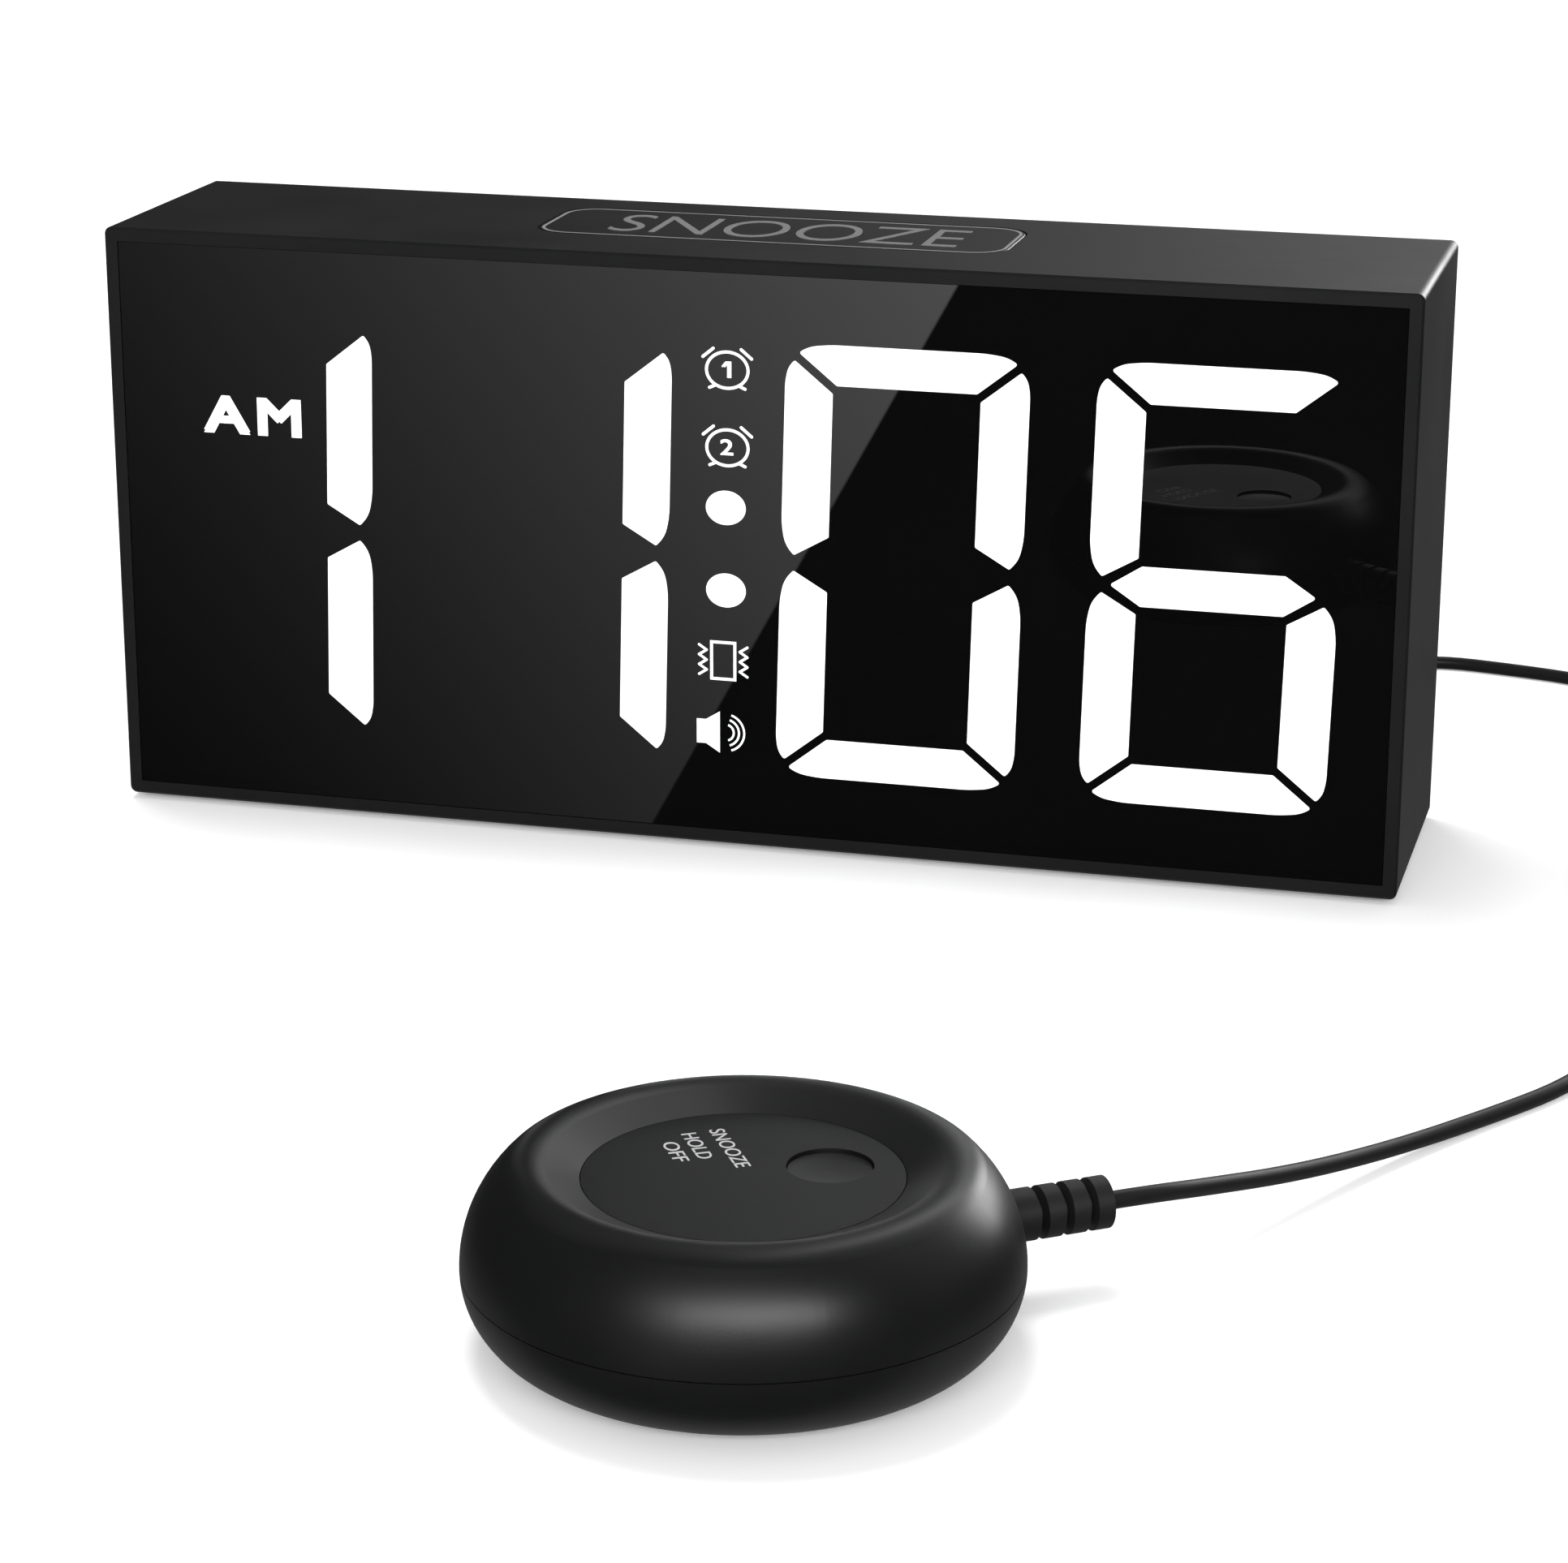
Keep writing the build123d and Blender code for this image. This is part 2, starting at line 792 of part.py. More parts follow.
def foot_places():
    x, y = case_width / 2 - foot_inset_x, case_depth / 2 - foot_inset_y
    return [(side * x, end * y) for side in (-1, 1) for end in (-1, 1)]


def rubber_feet():
    feet = []
    for x, y in foot_places():
        foot = rod_z(x, y, foot_radius, 0, case_bottom + foot_seat_depth)
        feet.append(chamfer(foot.edges().sort_by(Axis.Z)[0], foot_height / 3))
    return group(feet)


def lit_shapes():
    shapes = {}
    for place, (node, lit, _) in zip(digit_places(), digits):
        shapes[node] = [place * segments[name] for name in lit]
    shapes["colon_dots"] = [dots()]
    return shapes


def inlay_shapes():
    return {"alarm_signs": alarm_signs(), "alert_signs": vibrate_sign() + speaker_sign()}


def display_panel():
    outline = Rectangle(inner_width - 2 * slack, inner_height - 2 * slack)
    panel = slab(Pos(0, case_middle) * outline, panel_front, panel_back)
    for shapes in lit_shapes().values():
        for shape in shapes:
            panel -= slab(shape, panel_front - overrun, panel_back + overrun)
    for shapes in inlay_shapes().values():
        for shape in shapes:
            panel -= slab(shape, panel_front - overrun, panel_front + inlay_depth)
    return panel


def light_guides(shapes):
    return group(slab(shape, panel_front, panel_back) for shape in shapes)


def inlays(shapes):
    return group(slab(shape, panel_front, panel_front + inlay_depth) for shape in shapes)


def light_wells():
    """The places that the board lights: each segment, and a round well for each sign."""
    wells = []
    for place, (_, _, can_light) in zip(digit_places(), digits):
        wells += [place * segments[name] for name in can_light]
    dot = Ellipse(dot_half_width, dot_half_height)
    for share in dot_level_shares:
        wells.append(on_panel(dot_x, share) * dot)
    for share in (*alarm_sign_level_shares, vibrate_sign_level_share, speaker_sign_level_share):
        wells.append(on_panel(sign_x, share) * Circle(sign_well_radius))
    day_half = on_panel(day_half_x_share * case_width, day_half_z_share)
    wells.append(day_half * Circle(day_half_well_radius))
    return wells


def reflector_block():
    opening_width = inner_width - 2 * ledge_width - 2 * slide_slack
    opening_height = inner_height - 2 * ledge_width - 2 * slide_slack
    block_shape = Pos(0, case_middle) * Rectangle(opening_width, opening_height)
    reflector = slab(block_shape, panel_back + slack, reflector_back)
    for well in light_wells():
        reflector -= slab(well, panel_back - overrun, reflector_back + overrun)
    for side in (-1, 1):
        for level in (-1, 1):
            reflector -= rod_y(side * post_x, case_middle + level * post_z, post_radius + slide_slack,
                               panel_back - overrun, reflector_back + overrun)
    return reflector


def led_board():
    outline = Rectangle(inner_width - 2 * led_board_margin, inner_height - 2 * led_board_margin)
    board = slab(Pos(0, case_middle) * outline, reflector_back, led_board_back)
    for x, z in display_screw_places():
        board -= rod_y(x, z, inner_screw_radius + slack, reflector_back - overrun, led_board_back + overrun)
    return board


def display_screw_places():
    return [(side * post_x, case_middle + level * post_z) for side in (-1, 1) for level in (-1, 1)]


def leds():
    lamps = []
    for well in light_wells():
        centre = well.center()
        lamps.append(slab(Pos(centre.X, centre.Y) * Rectangle(led_width, led_height),
                          reflector_back - led_depth, reflector_back))
    return group(lamps)


# Snooze button

def snooze_outline(grow):
    return Pos(0, snooze_y) * RectangleRounded(
        snooze_length + 2 * grow, snooze_width + 2 * grow, snooze_corner_radius + grow)


def snooze_line_shape():
    outer = snooze_outline(-snooze_line_inset)
    return outer - snooze_outline(-snooze_line_inset - snooze_line_width)


def snooze_button():
    cap = plate(snooze_outline(0), snooze_bottom, case_top)
    cap = chamfer(cap.faces().sort_by(Axis.Z)[-1].edges(), snooze_line_inset / 3)
    cap += plate(snooze_outline(snooze_flange), snooze_bottom, snooze_bottom + snooze_flange_height)
    cap -= plate(snooze_outline(-snooze_skirt_wall), snooze_bottom - overrun, case_top - snooze_top_thickness)
    underside = case_top - snooze_top_thickness
    for side in (-1, 1):
        cap += rod_z(side * snooze_peg_spread, snooze_y, snooze_peg_radius, peg_bottom, underside)
    switch_top = bracket_top + switch_body_height + switch_stem_height
    cap += rod_z(0, snooze_y, snooze_plunger_radius, switch_top + snooze_travel + switch_gap, underside)
    cap -= plate(snooze_line_shape(), case_top - snooze_line_depth, case_top + overrun)
    return cap


def snooze_line():
    return plate(snooze_line_shape(), case_top - snooze_line_depth, case_top)


def snooze_bracket():
    half = bracket_half_length
    y0, y1 = snooze_y - bracket_width / 2, snooze_y + bracket_width / 2
    low = bracket_top - bracket_thickness
    bracket = block(-half, half, y0, y1, low, bracket_top)
    for side in (-1, 1):
        wall_in, wall_out = side * (half - bracket_thickness), side * half
        bracket += block(min(wall_in, wall_out), max(wall_in, wall_out), y0, y1, low, ear_top)
        ear_in, ear_out = side * (half - bracket_thickness), side * (half + bracket_ear_length)
        bracket += block(min(ear_in, ear_out), max(ear_in, ear_out), y0, y1,
                         ear_top - bracket_thickness, ear_top)
        bracket -= rod_z(side * bracket_boss_x, snooze_y, inner_screw_radius + slack,
                         low - overrun, ear_top + overrun)
        bracket -= rod_z(side * snooze_peg_spread, snooze_y, snooze_peg_radius + bracket_peg_slack,
                         low - overrun, bracket_top + overrun)
    return bracket


def tact_switch():
    """A small push switch that stands on the origin and is pressed from above."""
    body = plate(Rectangle(switch_size, switch_size), 0, switch_body_height)
    return body + rod_z(0, 0, switch_stem_radius, switch_body_height, switch_body_height + switch_stem_height)


def tact_switches():
    """One under each rear button, and one under the snooze button."""
    switches = [Pos(x, main_board_y, button_z) * Rot(-90, 0, 0) * tact_switch() for x in button_xs]
    switches.append(Pos(0, snooze_y, bracket_top) * tact_switch())
    return group(switches)


# Rear cover and what works through it

def button_shape(grow):
    return RectangleRounded(button_width + 2 * grow, button_height + 2 * grow, button_corner_radius + grow)


def grille_places():
    places = [(speaker_x, speaker_z)]
    for ring in range(1, grille_rings):
        count = ring * grille_holes_per_ring
        for n in range(count):
            angle = 2 * math.pi * n / count
            radius = ring * grille_ring_pitch
            places.append((speaker_x + radius * math.cos(angle), speaker_z + radius * math.sin(angle)))
    return places


def cover_screw_places():
    return [(side * cover_post_x, case_middle + level * post_z) for side in (-1, 1) for level in (-1, 1)]


def board_post_places():
    left, right = main_board_left + main_board_corner_inset, main_board_right - main_board_corner_inset
    low, high = main_board_bottom + main_board_corner_inset, main_board_top - main_board_corner_inset
    past_tray = bay_x + bay_width / 2 + bay_wall + board_post_tray_gap + board_post_radius
    return [(past_tray, low), (right, low), (left, high), (right, board_post_high_share * case_height)]


def door_bottom():
    return bay_z - bay_height / 2


def door_pivot_z():
    return door_bottom() + door_slack + door_thickness / 2


def door_y():
    return cover_back - door_thickness / 2


def wheel_y():
    return wheel_back - wheel_radius


def rear_cover():
    outline = Rectangle(inner_width - 2 * slack, inner_height - 2 * slack)
    cover = slab(Pos(0, case_middle) * outline, cover_front, cover_back)
    for x, z in cover_screw_places():
        cover -= rod_y(x, z, cover_screw_radius + slide_slack, cover_front - overrun, cover_back + overrun)
        cover -= rod_y(x, z, cover_screw_head_radius + slide_slack,
                       cover_back - cover_screw_head_depth, cover_back + overrun)
    for x, z in grille_places():
        cover -= rod_y(x, z, grille_hole_radius, cover_front - overrun, cover_back + overrun)
    for x in button_xs:
        hole = Pos(x, button_z) * button_shape(slide_slack)
        cover -= slab(hole, cover_front - overrun, cover_back + overrun)
    for x in (slider_mode_x, slider_dimmer_x):
        slot = Rectangle(slider_knob_width + 2 * slider_travel + 2 * slide_slack,
                         slider_knob_height + 2 * slide_slack)
        cover -= slab(Pos(x, control_z) * slot, cover_front - overrun, cover_back + overrun)
    reach = wheel_radius + wheel_slot_slack
    half_chord = math.sqrt(reach ** 2 - (cover_front - wheel_y()) ** 2)
    wheel_slot = Rectangle(2 * half_chord, wheel_thickness + 2 * wheel_slot_slack)
    cover -= slab(Pos(wheel_x, control_z) * wheel_slot, cover_front - overrun, cover_back + overrun)
    for x, radius in ((power_socket_x, power_nose_radius), (shaker_socket_x, shaker_nose_radius)):
        cover -= rod_y(x, socket_z, radius + slack, cover_front - overrun, cover_back + overrun)
    cover -= slab(Pos(bay_x, bay_z) * Rectangle(bay_width, bay_height),
                  cover_front - overrun, cover_back + overrun)
    pin_reach = bay_width / 2 - door_slack + door_pin_length + slide_slack
    pin_slot = Pos(bay_x, door_y(), door_pivot_z()) * Rot(0, 90, 0)
    cover -= pin_slot * Cylinder(door_pin_radius + door_pin_slack, 2 * pin_reach)
    grip = Rectangle(door_grip_width, 2 * door_grip_height)
    cover -= slab(Pos(bay_x, bay_z + bay_height / 2) * grip, cover_back - door_grip_depth, cover_back + overrun)
    for x, z in board_post_places():
        cover += rod_y(x, z, board_post_radius, main_board_y, cover_front)
        cover -= rod_y(x, z, inner_screw_radius + thread_slack, main_board_y - overrun,
                       main_board_y + inner_screw_length)
    for x, z in speaker_screw_places():
        boss_front = cover_front - speaker_boss_height
        cover += rod_y(x, z, board_post_radius, boss_front, cover_front)
        cover -= rod_y(x, z, inner_screw_radius + thread_slack, boss_front - overrun,
                       cover_front + cover_thickness / 2)
    return cover


def case_screws():
    head_seat = cover_back - cover_screw_head_depth
    one = screw(cover_screw_radius, cover_screw_length - pilot_spare, cover_screw_head_radius,
                cover_screw_head_depth, inner_screw_socket_radius * 2, inner_screw_socket_depth)
    return group(pointing_forward(x, head_seat, z) * one for x, z in cover_screw_places())


def rear_button(x):
    flange_back = cover_front - slack
    flange_front = flange_back - button_flange_depth
    cap = slab(Pos(x, button_z) * button_shape(0), flange_front, cover_back + button_stand)
    cap = fillet(cap.faces().sort_by(Axis.Y)[-1].edges(), button_edge_radius)
    cap += slab(Pos(x, button_z) * button_shape(button_flange), flange_front, flange_back)
    switch_top = main_board_y + switch_body_height + switch_stem_height
    return cap + rod_y(x, button_z, button_stem_radius, switch_top + button_travel + switch_gap, flange_front)


def slider_body(x):
    width = 2 * slider_travel + slider_stem_width + 2 * slide_slack
    body = slab(Pos(x, control_z) * Rectangle(slider_body_width, slider_body_height),
                main_board_y, main_board_y + slider_body_depth)
    slot = Rectangle(width, slider_stem_height + 2 * slide_slack)
    slot_front = main_board_y + slider_body_depth - slider_slot_depth
    return body - slab(Pos(x, control_z) * slot, slot_front, main_board_y + slider_body_depth + overrun)


def slider_knob(x):
    """A ridged knob on a stem that reaches into the switch, in its middle place."""
    stem_front = main_board_y + slider_body_depth - slider_slot_depth + slider_stem_gap
    knob = slab(Pos(x, control_z) * Rectangle(slider_stem_width, slider_stem_height), stem_front, cover_front)
    knob += slab(Pos(x, control_z) * Rectangle(slider_knob_width, slider_knob_height),
                 cover_front - overrun, cover_back + slider_knob_stand)
    pitch = slider_knob_width / slider_ridge_count
    for n in range(slider_ridge_count):
        ridge_x = x + (n - (slider_ridge_count - 1) / 2) * pitch
        groove = Pos(ridge_x + pitch / 2, control_z) * Rectangle(slider_ridge, slider_knob_height + overrun)
        if n < slider_ridge_count - 1:
            knob -= slab(groove, cover_back + slider_knob_stand - slider_ridge,
                         cover_back + slider_knob_stand + overrun)
    return knob


def volume_wheel():
    low = control_z - wheel_thickness / 2
    centre = Pos(wheel_x, wheel_y())
    rim = plate(centre * Circle(wheel_radius), low, low + wheel_thickness)
    rim = chamfer(rim.edges().filter_by(GeomType.CIRCLE), wheel_notch_radius / 2)
    for n in range(wheel_notches):
        angle = 2 * math.pi * n / wheel_notches
        rim -= rod_z(wheel_x + wheel_radius * math.cos(angle), wheel_y() + wheel_radius * math.sin(angle),
                     wheel_notch_radius, low - overrun, low + wheel_thickness + overrun)
    return rim + plate(centre * Circle(wheel_shaft_radius), low - pot_gap - wheel_shaft_length, low)


def volume_control():
    """The body of the turning resistor under the wheel, on the main board."""
    top = control_z - wheel_thickness / 2 - pot_gap
    body = block(wheel_x - pot_width / 2, wheel_x + pot_width / 2,
                 main_board_y, wheel_y() + pot_width / 2, top - pot_height, top)
    return body - rod_z(wheel_x, wheel_y(), wheel_shaft_radius + wheel_shaft_slack,
                        top - wheel_shaft_length - slide_slack, top + overrun)


def power_socket():
    body = slab(Pos(power_socket_x, socket_z) * Rectangle(power_socket_width, power_socket_height),
                main_board_y, cover_front - slack)
    body += rod_y(power_socket_x, socket_z, power_nose_radius, main_board_y, cover_back)
    body -= rod_y(power_socket_x, socket_z, power_bore_radius, cover_back - power_bore_depth,
                  cover_back + overrun)
    return body + rod_y(power_socket_x, socket_z, power_pin_radius,
                        cover_back - power_bore_depth - overrun, cover_back - power_pin_recess)


def shaker_socket():
    width = shaker_socket_width
    body = slab(Pos(shaker_socket_x, socket_z) * Rectangle(width, width), main_board_y, cover_front - slack)
    body += rod_y(shaker_socket_x, socket_z, shaker_nose_radius, main_board_y, cover_back)
    return body - rod_y(shaker_socket_x, socket_z, shaker_bore_radius, cover_back - shaker_bore_depth,
                        cover_back + overrun)


def main_board():
    board = block(main_board_left, main_board_right, main_board_y - main_board_thickness, main_board_y,
                  main_board_bottom, main_board_top)
    for x, z in board_post_places():
        board -= rod_y(x, z, inner_screw_radius + slack, main_board_y - main_board_thickness - overrun,
                       main_board_y + overrun)
    return board


def board_parts():
    """The clock chip, a memory chip, the crystal and a capacitor, on the board's front."""
    face = main_board_y - main_board_thickness
    chip = Pos(chip_x_share * case_width, chip_z_share * case_height)
    small_chip = Pos(small_chip_x_share * case_width, small_chip_z_share * case_height)
    crystal = Pos(crystal_x_share * case_width, crystal_z_share * case_height)
    capacitor = Pos(capacitor_x_share * case_width, capacitor_z_share * case_height)
    return group([
        slab(chip * Rectangle(chip_size, chip_size), face - chip_height, face),
        slab(small_chip * Rectangle(small_chip_width, chip_size), face - chip_height, face),
        slab(crystal * SlotOverall(crystal_width, crystal_height), face - crystal_depth, face),
        slab(capacitor * Circle(capacitor_radius), face - capacitor_height, face),
    ])


# Battery bay

def battery_tray():
    outer = Rectangle(bay_width + 2 * bay_wall, bay_height + 2 * bay_wall)
    tray = slab(Pos(bay_x, bay_z) * outer, cover_front - bay_depth, cover_front)
    tray -= slab(Pos(bay_x, bay_z) * Rectangle(bay_width, bay_height),
                 cover_front - bay_depth + bay_wall, cover_front + overrun)
    rib_y = cover_front - bay_depth + cell_radius
    return tray + slab(Pos(bay_x, bay_z) * Rectangle(cell_length / 2, cell_gap - 2 * slack),
                       cover_front - bay_depth, rib_y)


def cell_places():
    step = cell_radius + cell_gap / 2
    return [(bay_z - step, 1), (bay_z + step, -1)]


def cell_y():
    return cover_front - bay_depth + bay_wall + slack + cell_radius


def battery_cells():
    cells = []
    for z, way in cell_places():
        middle = Pos(bay_x, cell_y(), z) * Rot(0, way * 90, 0)
        can = fillet(Cylinder(cell_radius, cell_length).edges().filter_by(GeomType.CIRCLE), slide_slack)
        nub = Pos(0, 0, cell_length / 2 + cell_nub_length / 2) * Cylinder(cell_nub_radius, cell_nub_length)
        cells.append(middle * (can + nub))
    return group(cells)


def battery_contacts():
    contacts = []
    for z, way in cell_places():
        for end in (-1, 1):
            wall_x = bay_x + end * (bay_width / 2 - contact_thickness)
            outer_x = bay_x + end * bay_width / 2
            contact = block(min(wall_x, outer_x), max(wall_x, outer_x), cell_y() - contact_width / 2,
                            cell_y() + contact_width / 2, z - contact_width / 2, z + contact_width / 2)
            cell_end = cell_length / 2 + (cell_nub_length if end == way else 0) + slack
            reach = (bay_width / 2 - contact_thickness) - cell_end
            boss_x = bay_x + end * (cell_end + reach / 2)
            contact += Pos(boss_x, cell_y(), z) * Rot(0, 90, 0) * Cylinder(contact_boss_radius, reach)
            contacts.append(contact)
    return group(contacts)


def battery_door():
    """A lid with a full round lower edge about its two hinge pins."""
    half_width = bay_width / 2 - door_slack
    low, high = door_pivot_z(), bay_z + bay_height / 2 - door_slack
    front, back = door_y() - door_thickness / 2, door_y() + door_thickness / 2
    door = block(bay_x - half_width, bay_x + half_width, front, back, low, high)
    along = Pos(bay_x, door_y(), low) * Rot(0, 90, 0)
    door += along * Cylinder(door_thickness / 2, 2 * half_width)
    door += along * Cylinder(door_pin_radius, 2 * (half_width + door_pin_length))
    return door


# Loudspeaker

def speaker_screw_places():
    places = []
    for n in range(speaker_screws):
        angle = math.radians(90 + 360 * n / speaker_screws)
        places.append((speaker_x + speaker_screw_circle * math.cos(angle),
                       speaker_z + speaker_screw_circle * math.sin(angle)))
    return places


def lug_front():
    return cover_front - speaker_boss_height - slack - speaker_lug_thickness


def facing_back(shape):
    """Turns a shape made about Z so that its top faces the rear cover."""
    return Pos(speaker_x, cover_front - slack, speaker_z) * Rot(-90, 0, 0) * shape


def speaker_frame():
    rim_in, depth = speaker_radius - speaker_rim_width, speaker_basket_depth
    frame = turned([
        (speaker_radius, 0), (speaker_radius, -speaker_rim_depth),
        (rim_in + speaker_wall, -speaker_rim_depth), (speaker_basket_radius + speaker_wall, -depth),
        (speaker_basket_radius + speaker_wall, -depth - speaker_wall),
        (cone_throat_radius, -depth - speaker_wall), (cone_throat_radius, -depth),
        (speaker_basket_radius, -depth), (rim_in, -speaker_rim_depth), (rim_in, 0),
    ])
    lugs = []
    for x, z in speaker_screw_places():
        lugs.append(rod_y(x, z, speaker_lug_radius, lug_front(), lug_front() + speaker_lug_thickness))
    frame = union([facing_back(frame), *lugs])
    for x, z in speaker_screw_places():
        frame -= rod_y(x, z, inner_screw_radius + slack, lug_front() - overrun, cover_front)
    hollow = turned([(0, -depth), (speaker_basket_radius, -depth), (rim_in, -speaker_rim_depth),
                     (rim_in, overrun), (0, overrun)])
    return frame - facing_back(hollow)


def speaker_magnet():
    top = -speaker_basket_depth - speaker_wall
    magnet = rod_z(0, 0, speaker_magnet_radius, top - speaker_magnet_depth, top)
    return facing_back(chamfer(magnet.edges().sort_by(Axis.Z)[0], speaker_wall))


def speaker_cone():
    high, low = -cone_setback, -cone_setback - cone_depth
    outer = speaker_radius - speaker_rim_width - slack
    cone = turned([
        (0, low), (cone_throat_radius - slack, low), (cone_radius, high - cone_thickness),
        (outer, high - cone_thickness), (outer, high), (cone_radius, high),
        (cone_throat_radius, low + dust_cap_height), (0, low + 2 * dust_cap_height),
    ])
    return facing_back(cone)


def inner_screws():
    """Board, bracket, speaker and display screws, all of one kind."""
    screws = []
    for x, z in display_screw_places():
        screws.append(pointing_forward(x, led_board_back, z) * inner_screw())
    for x, z in board_post_places():
        screws.append(Pos(x, main_board_y - main_board_thickness, z) * Rot(90, 0, 0) * inner_screw())
    for side in (-1, 1):
        screws.append(Pos(side * bracket_boss_x, snooze_y, ear_top - bracket_thickness)
                      * Rot(180, 0, 0) * inner_screw())
    return group(screws)


def speaker_screws_group():
    """Short screws, because they end in the cover's own thickness."""
    length = speaker_lug_thickness + speaker_boss_height + cover_thickness / 3
    one = screw(inner_screw_radius, length, inner_screw_head_radius, inner_screw_head_height,
                inner_screw_socket_radius, inner_screw_socket_depth)
    return group(Pos(x, lug_front(), z) * Rot(90, 0, 0) * one for x, z in speaker_screw_places())


# Shaker pad

def arc_centre(radius_far, z_far):
    """The centre radius of the arc that is upright at the rim and ends at the given point."""
    drop = z_far - shaker_equator_z
    return (shaker_equator_radius ** 2 - radius_far ** 2 - drop ** 2) / (
        2 * (shaker_equator_radius - radius_far))


def arc_point(radius_far, z_far, share, inset):
    """A point on that arc, moved inward by inset: share 0 at the rim, 1 at its far end."""
    centre = arc_centre(radius_far, z_far)
    radius = shaker_equator_radius - centre
    full = math.atan2(z_far - shaker_equator_z, radius_far - centre)
    angle = share * full
    return (centre + (radius - inset) * math.cos(angle),
            shaker_equator_z + (radius - inset) * math.sin(angle))


def about_pad(shape):
    return Pos(shaker_x, shaker_y, 0) * shape


def pad_place(radius, angle):
    turn = math.radians(angle)
    return radius * math.cos(turn), radius * math.sin(turn)


def shaker_post_places():
    return [pad_place(shaker_post_circle, shaker_post_start_angle + 360 * n / shaker_post_count)
            for n in range(shaker_post_count)]


def motor_frame():
    """The motor's own frame in the pad: x along its shaft, the origin at its middle."""
    x, y = pad_place(motor_shift, motor_angle + 90)
    along_x, along_y = pad_place(motor_slide, motor_angle)
    return Pos(x + along_x, y + along_y, motor_middle) * Rot(0, 0, motor_angle)


def relief_frame():
    """The strain relief's frame in the pad: z outward along the relief."""
    return Pos(0, 0, shaker_equator_z) * Rot(0, 0, relief_angle) * Rot(0, 90, 0)


def relief_hole():
    return relief_frame() * plate(Circle(relief_neck_radius + relief_bore_slack),
                                  shaker_crest_radius, shaker_equator_radius + overrun)


def upper_outline():
    crest = (shaker_crest_radius, shaker_crest_z)
    seam = shaker_equator_z + shaker_seam_gap / 2
    rim = (shaker_equator_radius, seam)
    inner_rim = (shaker_equator_radius - shaker_wall, seam)
    ledge_low = disc_bottom - disc_gap - dish_ledge_thickness
    ledge_in = dish_radius - dish_ledge_width
    inner_top = arc_point(*crest, upper_inner_share, shaker_wall)
    outer = ThreePointArc(rim, arc_point(*crest, 1 / 2, 0), crest)
    inner = ThreePointArc(inner_top, arc_point(*crest, upper_inner_share / 2, shaker_wall), inner_rim)
    dish = Polyline(crest, (dish_radius + disc_gap, disc_top), (dish_radius + disc_gap, disc_bottom - disc_gap),
                    (ledge_in, disc_bottom - disc_gap), (ledge_in, ledge_low), inner_top)
    return make_face(Curve() + [outer, dish, inner, Line(inner_rim, rim)])


def shaker_top_shell():
    shell = revolve(Plane.XZ * upper_outline(), Axis.Z)
    crest_edge = shell.edges().filter_by(GeomType.CIRCLE).sort_by(Axis.Z)[-1]
    shell = fillet(crest_edge, shaker_crest_round)
    for x, y in shaker_post_places():
        post = rod_z(x, y, shaker_post_radius, shaker_post_joint_z, disc_bottom)
        inside = revolve(Plane.XZ * filled_upper(), Axis.Z)
        shell += post & inside
    for x, y in shaker_post_places():
        shell -= rod_z(x, y, shaker_screw_radius + thread_slack, shaker_post_joint_z - overrun,
                       shaker_post_joint_z + shaker_screw_length)
    shell -= relief_hole()
    shell -= relief_frame() * plate(Circle(relief_radius + relief_bore_slack),
                                    relief_start(), relief_reach)
    return about_pad(shell)


def filled_upper():
    """All that the upper shell's skin encloses, down to the posts' joint."""
    crest = (shaker_crest_radius, shaker_crest_z)
    seam = shaker_equator_z + shaker_seam_gap / 2
    low = shaker_post_joint_z
    inner_rim = (shaker_equator_radius - shaker_wall, seam)
    inner_top = arc_point(*crest, upper_inner_share, shaker_wall / 2)
    rim_half = (shaker_equator_radius - shaker_wall / 2, seam)
    skin = ThreePointArc(rim_half, arc_point(*crest, upper_inner_share / 2, shaker_wall / 2), inner_top)
    clear_low = (shaker_equator_radius - shaker_wall - shaker_post_radius, low)
    rest = Polyline(inner_top, (0, inner_top[1]), (0, low), clear_low, inner_rim, rim_half)
    return make_face(Curve() + [skin, rest])


def relief_start():
    return shaker_equator_radius - shaker_seam_depth


